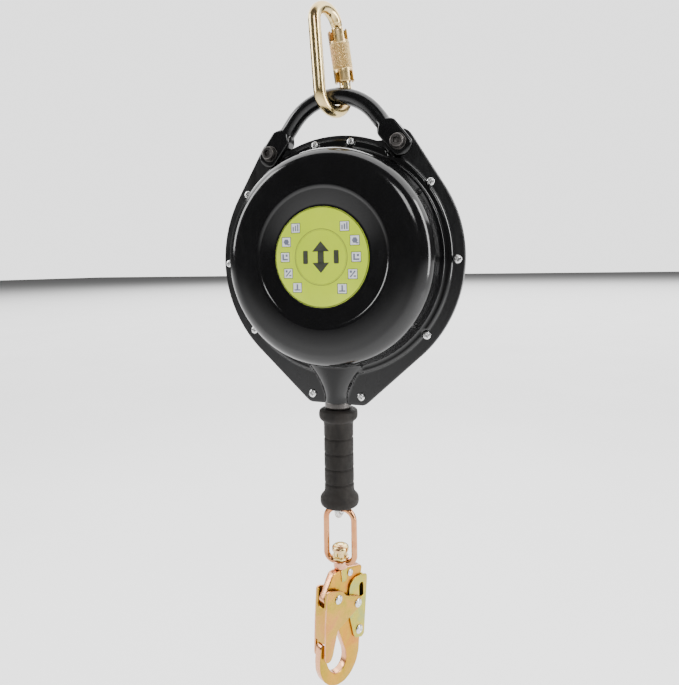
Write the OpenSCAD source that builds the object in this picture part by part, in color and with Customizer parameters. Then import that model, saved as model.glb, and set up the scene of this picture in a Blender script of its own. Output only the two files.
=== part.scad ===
// Self retracting lifeline: a wire rope on a sprung drum inside a two-shell
// housing, hung from a carabiner, with a swivelling snap hook on its free end.
// Millimetres. +X is right, -Y is the front, +Z is up. The origin is where the
// vertical load line meets the inside of the carabiner's top bend.

/* [Housing] */
// Height of the housing centre below the anchor point
housing_drop = 233; // [231:0.5:238]
// Radius of the bolted flange at its sides
flange_r = 127.5; // [126:0.5:130]
// Thickness of each pressed flange
flange_t = 3; // [2.5:0.1:3]
// Thickness of the gasket between the shells
gasket_t = 1; // [0.8:0.1:1]
// Radius of each dome at its base
dome_r = 110; // [109:0.5:111]
// Depth of the front dome, from the joint plane
front_depth = 40; // [40:0.5:44]
// Depth of the rear dome, from the joint plane
rear_depth = 44; // [44:0.5:50]
// Wall thickness of the domes
wall = 2.6; // [2:0.1:2.8]
// Diameter of the label disc
label_d = 95; // [80:1:97]
// Diameter of the neck that the line runs through
neck_d = 26; // [25:0.5:27]

/* [Bail] */
// Diameter of the bail tube
bail_d = 16.5; // [15:0.5:16.5]
// Bend radius of the bail's centre line
bail_bend_r = 55; // [54:0.5:56]
// Half the distance between the two bail bolts
bail_bolt_x = 67.7; // [67:0.1:68.5]

/* [Carabiner] */
// Diameter of the carabiner's bar
bar_d = 12.5; // [11.5:0.1:12.5]
// Turn of the carabiner's plane about the vertical
carabiner_turn = 68.5; // [60:0.5:90]
// Outside diameter of the twist sleeve
sleeve_d = 20.5; // [19:0.1:21]

/* [Line] */
// Diameter of the wire rope
rope_d = 4.8; // [4:0.1:4.8]
// Outer radius of the wound coil
coil_r = 83; // [70:0.5:83]
// Diameter of the rubber grip between its flanges
grip_d = 29.4; // [28:0.2:32]

/* [Hook] */
// Turn of the snap hook's plane about the vertical
hook_turn = 63.5; // [0:0.5:180]
// Thickness of the hook's body
hook_t = 8; // [6:0.2:8]
// Wire diameter of the swivel link
link_d = 6; // [5:0.1:6]

/* [Brake] */
// Number of teeth on the ratchet ring
teeth = 24; // [24:1:24]
// Outer radius of the ratchet ring
ratchet_r = 52; // [51:0.5:52]

/* [Hidden] */
$fn = 48;
e = 0.01;
cz = -housing_drop;
g2 = gasket_t / 2;
f2 = g2 + flange_t;
bail_z = 107.9;
ear_r = 14;
bail_r = bail_d / 2;
rope_r = rope_d / 2;

function arc(cx, cy, r, a0, a1, n = 8) = [for (i = [0:n]) let (a = a0 + (a1 - a0) * i / n) [cx + r * cos(a), cy + r * sin(a)]];

// places a child drawn about the housing centre
module H() translate([0, 0, cz]) children();
// extrudes an (x, z) outline from y0 to y1
module slab(y0, y1) translate([0, y1, 0]) rotate([90, 0, 0]) linear_extrude(y1 - y0) children();
// turns an (r, front depth) outline about the drum's axis
module turned() rotate([90, 0, 0]) rotate_extrude($fn = 96) children();
// ring about the drum's axis from y0 to y1
module ring(r0, r1, y0, y1) slab(y0, y1) difference() { circle(r1, $fn = 96); if (r0 > 0) circle(r0, $fn = 96); }
// round bar about Z
module rod(r, z0, z1) translate([0, 0, z0]) cylinder(r = r, h = z1 - z0);
module tube(r0, r1, z0, z1) translate([0, 0, z0]) difference() {
  cylinder(r = r1, h = z1 - z0);
  translate([0, 0, -1]) cylinder(r = r0, h = z1 - z0 + 2);
}
// round bar in the XZ plane: part of a bend, and a straight from a to b
module bend(c, R, r, a0, a1) translate([c[0], 0, c[1]]) rotate([90, 0, 0]) rotate([0, 0, a0]) rotate_extrude(angle = a1 - a0, $fn = 64) translate([R, 0]) circle(r, $fn = 32);
module straight(a, b, r) let (d = b - a) translate([a[0], 0, a[1]]) rotate([0, atan2(d[0], d[1]), 0]) cylinder(r = r, h = norm(d), $fn = 32);
// straight that runs a little way into the bends at its ends
module link_bar(a, b, r) let (d = b - a, u = d / norm(d)) straight(a - 0.4 * u, b + 0.4 * u, r - 0.05);

// coil of round wire about Z, as one closed mesh
module helix(R, r, pitch, turns, sides = 8, per = 20) {
  n = ceil(turns * per);
  pts = [for (i = [0:n]) let (u = 360 * turns * i / n) for (k = [0:sides - 1]) let (v = 360 * k / sides)
    [(R + r * cos(v)) * cos(u), (R + r * cos(v)) * sin(u), pitch * turns * i / n + r * sin(v)]];
  sidef = [for (i = [0:n - 1]) for (k = [0:sides - 1]) let (a = i * sides + k, b = i * sides + (k + 1) % sides) [a, a + sides, b + sides, b]];
  polyhedron(pts, concat(sidef, [[for (k = [0:sides - 1]) k], [for (k = [sides - 1:-1:0]) n * sides + k]]));
}

// ---------- flange outline ----------
screws = [[19, 113], [97.2, 68.3], [121, -4], [91.4, -74.3], [25.7, -136.6]];
// tangent points between the big circle and a small corner circle at c
function touch(c, r, side) = let (d = norm(c), a = atan2(c[1], c[0]) + side * acos((flange_r - r) / d)) [[flange_r * cos(a), flange_r * sin(a)], [c[0] + r * cos(a), c[1] + r * sin(a)]];
ear_c = [bail_bolt_x, bail_z];
foot_c = [25.7, -136.6];
module flange_plate(y0, y1) {
  t1 = touch(ear_c, ear_r, -1);
  t2 = touch(foot_c, 9, 1);
  intersection() {
    slab(y0, y1) circle(flange_r, $fn = 120);
    slab(y0 - 1, y1 + 1) translate([-200, -200]) square([400, 200 + 112]);
  }
  slab(y0, y1) circle(121, $fn = 120);
  for (s = [0, 1]) mirror([s, 0, 0]) {
    slab(y0, y1) polygon([[48, 70], t1[0] * 0.9, t1[0], t1[1], ear_c, [48, 110]]);
    slab(y0, y1) translate(ear_c) circle(ear_r);
    slab(y0, y1) polygon([[-1, -140], foot_c, t2[1], t2[0], t2[0] * 0.9, [-1, -100]]);
    slab(y0, y1) translate(foot_c) circle(9);
  }
  slab(y0, y1) translate([-25.7, -145.6]) square([51.4, 30]);
}
module flange_holes(y0, y1) {
  for (s = [-1, 1]) {
    for (p = screws) translate([s * p[0], 0, p[1]]) rotate([90, 0, 0]) translate([0, 0, -y1]) cylinder(r = 2.2, h = y1 - y0, $fn = 24);
    translate([s * bail_bolt_x, 0, bail_z]) rotate([90, 0, 0]) translate([0, 0, -y1]) cylinder(r = 4.2, h = y1 - y0, $fn = 32);
  }
}
// ---------- domes ----------
function dome_out(d) = concat([[0, g2], [0, d - 2], [49.2, d - 2], [50, d - 1.5], [64.5, d - 1.3], [66.3, d], [80, d], [89.5, d - 0.8]],
  arc(90, d - 15.8, 15, 80, 6, 7), [[109.3, f2 + 2.6], [109.8, f2 + 2], [115, f2 + 1.8], [116.4, f2 - e], [116.4, g2]]);
function dome_in(d) = concat([[0, -5], [0, d - 2 - wall], [63.6, d - 2 - wall], [66, d - wall], [89.5, d - 0.8 - wall]],
  arc(90, d - 15.8, 15 - wall, 80, 6, 7), [[dome_r - 3.2, f2], [dome_r - 3.2, -5]]);
module funnel(x0, x1, z1, h) slab(-h, -g2) polygon([[-x0, -98], [x0, -98], [x1, z1], [-x1, z1]]);
// one shell, with its dome towards the front
module shell(d, screw_r) difference() {
  union() {
    flange_plate(-f2, -g2);
    turned() polygon(dome_out(d));
    funnel(38, 13, -134, neck_d / 2);
    intersection() {
      rod(neck_d / 2, -143.2, -125);
      slab(-20, -g2) translate([-30, -160]) square([60, 60]);
    }
  }
  turned() polygon(dome_in(d));
  slab(-9.6, 5) polygon([[-32, -90], [32, -90], [9, -126], [-9, -126]]);
  rod(9.5, -148, -124);
  rod(13.6, -148, -143.2);
  rod(11.2, -139.2, -136);
  flange_holes(-10, 5);
  // flats in the rim bead for the screws, the nuts and the ends of the bail
  for (s = [-1, 1]) {
    for (p = screws) translate([s * p[0], 0, p[1]]) rotate([90, 0, 0]) translate([0, 0, f2]) cylinder(r = 4.4, h = 6, $fn = 32);
    translate([s * bail_bolt_x, 0, bail_z]) rotate([90, 0, 0]) translate([0, 0, f2]) cylinder(r = 13.9, h = 8, $fn = 64);
  }
  rotate([90, 0, 0]) cylinder(r = 4.2, h = 60);
  rotate([90, 0, 0]) translate([0, 0, d - 2 - 2.4 + e]) cylinder(r1 = 4.2, r2 = screw_r, h = 2.4);
  // socket that stops the shaft turning
  slab(-(d - 2 - wall + 0.8), 0) square([11, 11], center = true);
}
module front_cover() color([0.03, 0.03, 0.035]) H() shell(front_depth, 8.2);
module rear_cover() color([0.03, 0.03, 0.035]) H() mirror([0, 1, 0]) shell(rear_depth, 8.2);
module cover_gasket() color([0.12, 0.12, 0.12]) H() difference() {
  flange_plate(-g2, g2);
  rotate([90, 0, 0]) translate([0, 0, -5]) cylinder(r = dome_r - 3, h = 10, $fn = 120);
  slab(-5, 5) polygon([[-32, -90], [32, -90], [9, -126], [-9, -126]]);
  slab(-5, 5) translate([-9.5, -160]) square([19, 40]);
  slab(-5, 5) translate([-11.2, -139.2]) square([22.4, 3.2]);
  slab(-5, 5) translate([-13.6, -160]) square([27.2, 16.8]);
  flange_holes(-5, 5);
}
module front_label() color([0.72, 0.85, 0.1]) H() ring(0, label_d / 2, -(front_depth - 2) - 0.8, -(front_depth - 2));

module neck_collar() color([0.05, 0.05, 0.05]) H() difference() {
  union() {
    rod(13.3, -149.2, -143.2);
    translate([0, 0, -150]) cylinder(r1 = 12.5, r2 = 13.3, h = 0.8);
  }
  rod(9.5, -151, -142);
}
module neck_bush() color([0.85, 0.85, 0.8]) H() difference() {
  union() {
    rod(9.45, -149.6, -126.5);
    rod(11.1, -139.1, -136.1);
  }
  rod(rope_r + 0.9, -151, -126);
  translate([0, 0, -132]) cylinder(r1 = rope_r + 0.9, r2 = 8.2, h = 5.6);
}
// ---------- fasteners of the covers ----------
module pan_screw() {
  translate([0, 0, 0]) rotate_extrude($fn = 32) polygon([[0, -12.2], [1.95, -12.2], [1.95, 0], [3.75, 0], [3.75, 1.2], [3.3, 2], [2.2, 2.5], [0, 2.6]]);
}
module cover_screws() color([0.78, 0.78, 0.76]) H() for (s = [-1, 1], p = screws) translate([s * p[0], -f2, p[1]]) rotate([90, 0, 0]) difference() {
  pan_screw();
  for (a = [0, 90]) rotate([0, 0, a + 20]) translate([-2, -0.4, 1.2]) cube([4, 0.8, 3]);
}
module cover_nuts() color([0.78, 0.78, 0.76]) H() for (s = [-1, 1], p = screws) translate([s * p[0], f2, p[1]]) rotate([-90, 0, 0]) difference() {
  cylinder(r = 4.04, h = 3.2, $fn = 6);
  translate([0, 0, -1]) cylinder(r = 1.97, h = 6, $fn = 24);
}
// ---------- bail ----------
bail_a = 52;
bail_top = [0, bail_z - 1.9];
bail_bend_end = [bail_bend_r * sin(bail_a), bail_top[1] + bail_bend_r * cos(bail_a)];
bail_dir = [ear_c[0] - bail_bend_end[0], ear_c[1] - bail_bend_end[1]];
bail_len = norm(bail_dir);
bail_tilt = atan2(bail_dir[0], bail_dir[1]);
module bail_end() {
  // drawn with the bolt at the origin and the arm along -Z
  rotate([0, bail_tilt, 0]) difference() {
    slab(-bail_r, bail_r) union() {
      polygon([[-bail_r, -27], [bail_r, -27], [11, -18], [-11, -18]]);
      translate([-11, -18 - e]) square([22, 22]);
      intersection() { circle(13.5, $fn = 64); translate([-11, -5]) square([22, 20]); }
    }
    slab(-f2 - 0.25, f2 + 0.25) translate([-15, -15.6]) square([30, 40]);
    rotate([90, 0, 0]) translate([0, 0, -20]) cylinder(r = 4.2, h = 40, $fn = 32);
  }
}
module bail_handle() color([0.04, 0.04, 0.045]) H() union() {
  bend(bail_top, bail_bend_r, bail_r, 90 - bail_a, 90 + bail_a);
  for (s = [0, 1]) mirror([s, 0, 0]) {
    link_bar(bail_bend_end, bail_bend_end + bail_dir * ((bail_len - 26.9) / bail_len), bail_r);
    translate([ear_c[0], 0, ear_c[1]]) bail_end();
  }
}
module at_bail_bolts() H() for (s = [-1, 1]) translate([s * bail_bolt_x, 0, bail_z]) rotate([90, 0, 0]) children();
module bail_bolts() color([0.2, 0.2, 0.2]) at_bail_bolts() difference() {
  union() {
    translate([0, 0, -18]) cylinder(r = 3.95, h = 18 + bail_r + 1.4 + e, $fn = 32);
    translate([0, 0, bail_r + 1.4]) cylinder(r = 6.6, h = 5.2, $fn = 48);
    translate([0, 0, bail_r + 6.6]) cylinder(r1 = 6.6, r2 = 6, h = 0.6, $fn = 48);
  }
  translate([0, 0, bail_r + 3.2]) cylinder(r = 3.4, h = 10, $fn = 6);
}
module bail_washers() color([0.35, 0.35, 0.35]) at_bail_bolts() for (z = [bail_r, -bail_r - 1.4]) translate([0, 0, z]) difference() {
  cylinder(r = 8, h = 1.4, $fn = 48);
  translate([0, 0, -1]) cylinder(r = 4.2, h = 4, $fn = 32);
}
module bail_nuts() color([0.2, 0.2, 0.2]) at_bail_bolts() translate([0, 0, -bail_r - 1.4 - 6.5]) difference() {
  cylinder(r = 7.5, h = 6.5, $fn = 6);
  translate([0, 0, -1]) cylinder(r = 4, h = 9, $fn = 32);
}
// ---------- carabiner ----------
cb_low = [0, 166];
cb_low_r = 19.8;
cb_top = [-9.4, 230.3];
cb_top_r = 16;
cb_d = cb_top - cb_low;
cb_a = atan2(cb_d[1], cb_d[0]);
cb_b = acos((cb_low_r - cb_top_r) / norm(cb_d));
cb_l = cb_a + cb_b; // direction of the spine's outward normal
cb_r = cb_a - cb_b; // direction of the gate's outward normal
bar_r = bar_d / 2;
function on(c, R, a) = [c[0] + R * cos(a), c[1] + R * sin(a)];
gate_0 = on(cb_low, cb_low_r, cb_r);
gate_1 = on(cb_top, cb_top_r, cb_r);
gate_len = norm(gate_1 - gate_0);
gate_lean = atan2(gate_1[0] - gate_0[0], gate_1[1] - gate_0[1]);
piv = 6.4;
module CB() H() rotate([0, 0, carabiner_turn]) children();
// drawn along +Z from the lower end of the gate gap
module along_gate() CB() translate([gate_0[0], 0, gate_0[1]]) rotate([0, gate_lean, 0]) children();
module carabiner_body() color([0.8, 0.72, 0.5]) {
  CB() {
    bend(cb_low, cb_low_r, bar_r, cb_l, 360 + cb_r);
    link_bar(on(cb_low, cb_low_r, cb_l), on(cb_top, cb_top_r, cb_l), bar_r);
    bend(cb_top, cb_top_r, bar_r, cb_r, cb_l);
  }
  along_gate() {
    difference() {
      slab(-2.5, 2.5) union() { translate([-5, -1]) square([10, piv + 1]); translate([0, piv]) circle(5); }
      translate([0, 0, piv]) rotate([90, 0, 0]) translate([0, 0, -10]) cylinder(r = 2.05, h = 20, $fn = 32);
    }
    // blade that the slotted top of the gate closes over
    slab(-1.8, 1.8) translate([-4.6, gate_len - 12]) square([9.2, 13]);
    translate([0, 0, gate_len - 2.2]) cylinder(r1 = 4.8, r2 = bar_r - 0.1, h = 2.4, $fn = 32);
  }
}
module gate_bar() color([0.8, 0.72, 0.5]) along_gate() difference() {
  union() {
    rod(6, piv, gate_len - 2.6);
    intersection() {
      rod(6, 0, piv + 1);
      translate([0, 0, piv]) rotate([90, 0, 0]) translate([0, 0, -8]) cylinder(r = 6, h = 16);
    }
  }
  slab(-2.8, 2.8) union() { translate([-9, -3]) square([18, piv + 3]); translate([0, piv]) circle(5.5); translate([-5.5, piv]) square([11, 5.5]); }
  slab(-2.1, 2.1) translate([-9, gate_len - 13.4]) square([18, 20]);
  translate([0, 0, piv]) rotate([90, 0, 0]) translate([0, 0, -10]) cylinder(r = 2, h = 20, $fn = 32);
  // seat of the sleeve spring
  tube(5.2, 8, 24, 44);
}
module gate_pivot_pin() color([0.8, 0.8, 0.78]) along_gate() translate([0, 0, piv]) rotate([90, 0, 0]) translate([0, 0, -5.4]) cylinder(r = 2, h = 10.8, $fn = 32);
module twist_sleeve() color([0.78, 0.68, 0.4]) along_gate() difference() {
  union() {
    rod(sleeve_d / 2, 10, gate_len - 5.8);
    translate([0, 0, 9]) cylinder(r1 = sleeve_d / 2 - 1, r2 = sleeve_d / 2, h = 1);
    translate([0, 0, gate_len - 5.8]) cylinder(r1 = sleeve_d / 2, r2 = sleeve_d / 2 - 1, h = 1);
  }
  rod(6.06, 0, 80);
  tube(5, 8.4, 22, 46);
  for (a = [0, 90]) rotate([0, 0, a]) {
    translate([-15, -2.6, gate_len - 15.5]) cube([30, 5.2, 20]);
    translate([-15, -2.6, 0]) cube([30, 5.2, 19]);
  }
}
module sleeve_spring() color([0.6, 0.6, 0.6]) along_gate() translate([0, 0, 26]) helix(6.9, 0.6, 3, 5);

// ---------- shaft ----------
module main_shaft() color([0.7, 0.7, 0.72]) H() difference() {
  union() {
    ring(0, 8, -(front_depth - 6), rear_depth - 6);
    slab(-(front_depth - 2 - wall + 0.7), rear_depth - 2 - wall + 0.7) square([10.9, 10.9], center = true);
  }
  rotate([90, 0, 0]) translate([0, 0, -60]) cylinder(r = 3.5, h = 120, $fn = 32);
}
module flat_screw(l) union() {
  cylinder(r1 = 8, r2 = 5, h = 1.8, $fn = 48);
  cylinder(r = 3.5, h = l, $fn = 32);
}
module shaft_end_screws() color([0.6, 0.6, 0.6]) H() {
  difference() {
    translate([0, -(front_depth - 2), 0]) rotate([-90, 0, 0]) flat_screw(18);
    translate([0, -(front_depth - 2) - 1, 0]) rotate([-90, 0, 0]) cylinder(r = 2.9, h = 3, $fn = 6);
  }
  difference() {
    translate([0, rear_depth - 2, 0]) rotate([90, 0, 0]) flat_screw(18);
    translate([0, rear_depth - 2 + 1, 0]) rotate([90, 0, 0]) cylinder(r = 2.9, h = 3, $fn = 6);
  }
}
// ---------- drum ----------
core_r = 44;
module drum_holes() for (a = [30:60:330]) rotate([0, a, 0]) translate([39, 0, 0]) rotate([90, 0, 0]) translate([0, 0, -30]) cylinder(r = 2.5, h = 60, $fn = 24);
module drum_core() color([0.75, 0.76, 0.78]) H() difference() {
  union() {
    ring(30, core_r - 0.1, -12, 12);
    ring(11.6, 16, -12, 12);
    ring(15, 31, -2.5, 2.5);
  }
  drum_holes();
  // pocket that takes the end of the line
  translate([33, 0, 0]) rotate([0, 90, 0]) cylinder(r = rope_r + 0.1, h = 20, $fn = 24);
}
module flange_disc(y0, y1) ring(17, 97, y0, y1);
module lightening() for (a = [0:60:300]) rotate([0, a, 0]) translate([57, 0, 0]) rotate([90, 0, 0]) translate([0, 0, -30]) cylinder(r = 10, h = 60);
pawl_x = 72;
module drum_front_flange() color([0.75, 0.76, 0.78]) H() difference() {
  union() {
    flange_disc(-14.5, -12);
    for (s = [-1, 1]) translate([s * pawl_x, 0, 0]) ring(0, 8, -19, -14.4);
  }
  drum_holes();
  rotate([0, 30, 0]) lightening();
  for (s = [-1, 1]) translate([s * pawl_x, 0, 0]) rotate([90, 0, 0]) cylinder(r = 3, h = 40, $fn = 32);
}
module drum_rear_flange() color([0.75, 0.76, 0.78]) H() difference() {
  flange_disc(12, 14.5);
  drum_holes();
}
module drum_bushings() color([0.7, 0.5, 0.2]) H() for (s = [0, 1]) mirror([0, s, 0]) {
  ring(8.05, 11.5, -13, -1);
  ring(8.05, 14, -14.4, -13 + e);
}
module drum_screws() color([0.5, 0.5, 0.5]) H() for (a = [30:60:330]) rotate([0, a, 0]) translate([39, 0, 0]) {
  ring(0, 2.4, -14.5, 14.4);
  ring(0, 4.2, -16.4, -14.5);
}
module lifeline_coil() color([0.6, 0.6, 0.6]) H() ring(core_r, coil_r, -11.9, 11.9);
module lifeline_anchor() color([0.7, 0.7, 0.7]) H() translate([33.2, 0, 0]) rotate([0, 90, 0]) cylinder(r = rope_r, h = core_r - 33.4, $fn = 24);

// ---------- power spring ----------
module spring_case() color([0.45, 0.46, 0.48]) H() difference() {
  ring(0, 60, 14.5, 36);
  ring(0, 58.4, 16.2, 37);
  ring(0, 17, 14, 17);
}
module spring_case_cover() color([0.5, 0.5, 0.52]) H() ring(16, 60, 36, 37.4);
module spring_arbor() color([0.55, 0.55, 0.58]) H() ring(8.05, 12, 15, 37);
turns = 7;
sp_n = turns * 24;
function sp(i, o) = let (a = 360 * turns * i / sp_n, r = 14 + (56.6 - 14) * i / sp_n + o) [r * cos(a), r * sin(a)];
module power_spring() color([0.35, 0.37, 0.42]) H()
  slab(17, 35) polygon(concat([for (i = [0:sp_n]) sp(i, 0)], [for (i = [sp_n:-1:0]) sp(i, 0.7)]));
// ---------- brake ----------
module brake_hub() color([0.6, 0.6, 0.62]) H() difference() {
  union() {
    ring(0, 34, -17.5, -15.2);
    ring(0, 20.3, -28.6, -17);
    ring(0, 15.9, -33.4, -28);
  }
  ring(0, 8.05, -40, 0);
}
module ratchet_2d() difference() {
  circle(ratchet_r, $fn = 96);
  circle(20.36, $fn = 96);
  for (i = [0:teeth - 1]) rotate(i * 360 / teeth + gap_a) translate([45.2, -3.9]) polygon([[0, 0.9], [9, 0], [9, 7.8], [0, 6.9]]);
}
tip_a = 24;
gap_a = 20.5;
module ratchet_ring() color([0.5, 0.5, 0.52]) H() slab(-25, -19.2) ratchet_2d();
module friction_washers() color([0.35, 0.25, 0.18]) H() { ring(21, 33.5, -19.2, -17.5); ring(21, 33.5, -26.7, -25); }
module pressure_plate() color([0.6, 0.6, 0.62]) H() ring(20.4, 33.5, -28.4, -26.7);
module brake_disc_spring() color([0.4, 0.42, 0.46]) H() turned() polygon([[16.4, 29.6], [29, 28.4], [29, 29.6], [16.4, 30.8]]);
module brake_nut() color([0.55, 0.55, 0.57]) H() ring(15.9, 24, -34, -30.8);
tip = [53.4 * cos(tip_a), 53.4 * sin(tip_a)];
module pawl() difference() {
  union() {
    slab(-24.8, -19.4) polygon([[pawl_x - 5, -5.5], [pawl_x + 6.5, -4], [pawl_x + 5, 6], tip + [6.5, 3.6], tip + [1.8, 2.4], tip, tip + [0.6, -2.4], tip + [5.2, -2.2], tip + [9, -8]]);
    slab(-24.8, -19.4) translate([pawl_x, 0]) circle(7);
    slab(-24.8, -19.4) polygon([[pawl_x + 1, -20], [pawl_x + 11, -18], [pawl_x + 7, -1], [pawl_x - 4, -5]]);
  }
  slab(-30, -15) translate([pawl_x, 0]) circle(3.05, $fn = 32);
}
module pawl_a() color([0.45, 0.45, 0.48]) H() pawl();
module pawl_b() color([0.45, 0.45, 0.48]) H() rotate([0, 180, 0]) pawl();
module pawl_pins() color([0.7, 0.7, 0.7]) H() for (s = [-1, 1]) translate([s * pawl_x, 0, 0]) { ring(0, 3, -29, -12.1); ring(0, 6.4, -30.4, -29); }
module pawl_springs() color([0.7, 0.7, 0.7]) H() for (s = [-1, 1]) translate([s * pawl_x, -25.6, 0]) rotate([90, 0, 0]) helix(4.6, 0.5, 1.1, 2.5, 8, 16);

// ---------- line ----------
run_r = coil_r + rope_r + 0.15;
neck_bend = 22;
neck_top = -128;
run_k = norm([neck_bend, neck_top]);
run_a = asin((run_r + neck_bend) / run_k) - atan2(neck_bend, -neck_top);
run_p = [-neck_bend + neck_bend * cos(run_a), neck_top + neck_bend * sin(run_a)];
run_t = [-run_r * cos(run_a), -run_r * sin(run_a)];
module lifeline_run() color([0.6, 0.6, 0.6]) H() union() {
  bend([-neck_bend, neck_top], neck_bend, rope_r, 0, run_a);
  link_bar(run_p, run_t, rope_r);
  bend([0, 0], run_r, rope_r, 90, 180 + run_a);
}
module lifeline_tail() color([0.6, 0.6, 0.6]) H() rod(rope_r, -186, neck_top);
module stop_sleeve() color([0.7, 0.7, 0.7]) H() rod(7, -199.6, -186);
module line_ferrule() color([0.75, 0.75, 0.76]) H() translate([0, 0, -225]) difference() {
  linear_extrude(25) union() { for (s = [-1, 1]) translate([0, s * 2.45]) circle(4.4, $fn = 32); square([8.8, 4.9], center = true); }
  translate([0, 0, -1]) linear_extrude(27) union() { for (s = [-1, 1]) translate([0, s * 2.45]) circle(rope_r + 0.02, $fn = 32); square([2 * rope_r + 0.04, 4.9], center = true); }
}
eye_r = 8.75;
eye_c = [0, -248.85];
eye_b = 15;
eye_l = (eye_r * cos(eye_b) - 2.45) / sin(eye_b);
eye_top = eye_c[1] + eye_r * sin(eye_b) + eye_l * cos(eye_b);
module lifeline_eye() color([0.72, 0.72, 0.72]) H() rotate([0, 0, 90]) union() {
  bend(eye_c, eye_r, rope_r, 180 - eye_b, 360 + eye_b);
  for (s = [0, 1]) mirror([s, 0, 0]) {
    link_bar(on(eye_c, eye_r, eye_b), [2.45, eye_top], rope_r);
    translate([2.45, 0, eye_top]) sphere(r = rope_r, $fn = 32);
    translate([2.45, 0, 0]) rod(rope_r, eye_top, -199.7);
  }
}
module eye_thimble() color([0.8, 0.8, 0.8]) H() rotate([0, 0, 90]) bend_profile(eye_c) polygon([[eye_r - rope_r - 1.3, -2.6], [eye_r - rope_r - 0.1, -2.6], [eye_r - rope_r - 0.1, 2.6], [eye_r - rope_r - 1.3, 2.6]]);
module bend_profile(c) translate([c[0], 0, c[1]]) rotate([90, 0, 0]) rotate([0, 0, 170]) rotate_extrude(angle = 200, $fn = 64) children();
gr = grip_d / 2;
module hand_grip() color([0.16, 0.155, 0.15]) H() difference() {
  rotate_extrude($fn = 64) polygon(concat(
    [[0, -150.4], [16.6, -150.4], [18.6, -151.4], [19.5, -153.5], [19.5, -158.5], [18.4, -160.8], [gr, -163.5]],
    [for (z = [178.9, 193.9, 208.8, 223.7]) each [[gr, -z + 1.6], [gr - 1.2, -z + 0.9], [gr - 1.2, -z - 0.9], [gr, -z - 1.6]]],
    [[gr, -231.5], [17.6, -236], [19.3, -238.4], [19.5, -240.5], [19.1, -244.5], [17.8, -246], [0, -246]]));
  rod(rope_r + 0.6, -190, -150);
  rod(7.6, -226, -185.6);
  translate([0, 0, -238]) cylinder(r1 = 12.4, r2 = 7.6, h = 12 + e);
  rod(12.4, -247, -238 + e);
}
// ---------- swivel link ----------
lw = 14.75;
l_top = -250.65;
l_low = -303.5;
lr = link_d / 2;
module swivel_link() color([0.78, 0.6, 0.45]) H() difference() {
  union() {
    for (s = [0, 1]) mirror([s, 0, 0]) {
      bend([lw - 11, l_top - 11], 11, lr, 0, 90);
      straight([lw, l_top - 11], [lw, l_low + 8], lr);
      bend([lw - 8, l_low + 8], 8, lr, 270, 360);
      straight([lw - 8, l_low], [5, l_low], lr);
    }
    straight([-(lw - 11), l_top], [lw - 11, l_top], lr);
    rod(7.15, -309.3, -301.8);
  }
  rod(4.2, -312, -300);
}
module swivel_nut() color([0.75, 0.66, 0.4]) H() difference() {
  union() {
    translate([0, 0, -299.6]) cylinder(r = 9.1, h = 7.8, $fn = 6);
    rod(8.4, -299.6, -288.6);
    rod(4.8, -301.4, -299.5);
    translate([0, 0, -288.6]) cylinder(r1 = 8.4, r2 = 6.6, h = 2.4);
  }
  rod(4.14, -302, -280);
  for (a = [0:60:120]) rotate([0, 0, a]) translate([-12, -1.4, -291]) cube([24, 2.8, 10]);
}
module swivel_stem() color([0.75, 0.7, 0.4]) H() rotate([0, 0, hook_turn]) union() {
  rod(4.13, -309.6, -287.4);
  translate([0, 0, -287.4]) cylinder(r1 = 4.13, r2 = 3, h = 1.2);
  slab(-5.6, 5.6) polygon([[-4.1, -309.6], [4.1, -309.6], [2.8, -321.8], [-3, -321.8]]);
}
// ---------- snap hook ----------
ht = hook_t / 2;
module HK() H() rotate([0, 0, hook_turn]) children();
pa = [-11.2, -333.6];
pb = [14.8, -347.6];
pc = [18, -376.6];
ps = [8.6, -316.6];
module pin_at(p, r, y0, y1) translate([p[0], 0, p[1]]) ring2(r, y0, y1);
module ring2(r, y0, y1) slab(y0, y1) circle(r, $fn = 32);
hook_pts = concat(
  [[-11, -309.9], [-4.2, -309.9], [24, -314.5], [26, -317], [24.6, -323.5], [17.5, -325.2], [17.5, -350]],
  [[20.8, -372], [21, -386], [19.6, -400], [15.5, -410], [8, -417.4], [-1, -421], [-11, -420.4], [-21, -415.4], [-28, -408], [-32, -398], [-32.4, -388], [-30.6, -376]],
  [[-28.8, -373.2], [-26, -373.6], [-24.4, -377], [-24.6, -386], [-22, -396], [-18, -403.5], [-12.5, -408], [-6.5, -408.6], [-1, -406], [2.2, -400], [1.6, -392], [-7.2, -368.7]],
  [[-8.5, -350], [-11.5, -341], [-17, -340.6], [-25, -335], [-26.6, -331], [-14, -311]]);
module hook_body() color([0.8, 0.64, 0.25]) HK() difference() {
  slab(-ht, ht) difference() {
    polygon(hook_pts);
    polygon([[-4.1, -309], [4.1, -309], [4.1, -309.7], [2.8, -321.9], [-3, -321.9], [-4.1, -309.7]]);
  }
  pin_at(pa, 2.55, -20, 20);
  pin_at(pc, 2.55, -20, 20);
  pin_at(ps, 2.3, -20, 20);
}
module riveted(p, r, w, hr) { pin_at(p, r, -w, w); pin_at(p, hr, -w - 1.7, -w); pin_at(p, hr, w, w + 1.7); }
module stem_rivet() color([0.8, 0.8, 0.82]) HK() riveted(ps, 2.3, ht, 3.4);
module gate_2d() polygon([[-25.4, -322.6], [-22.6, -321.6], [-8.5, -326.8], [-5.4, -328.2], [-1, -334], [16, -341.4], [19.6, -343.6], [20.4, -348.6], [17.4, -352.4], [-12.7, -363.4], [-19.6, -385], [-22.2, -388.6], [-26.6, -388.8], [-29.3, -385.8], [-27.8, -350]]);
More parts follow.
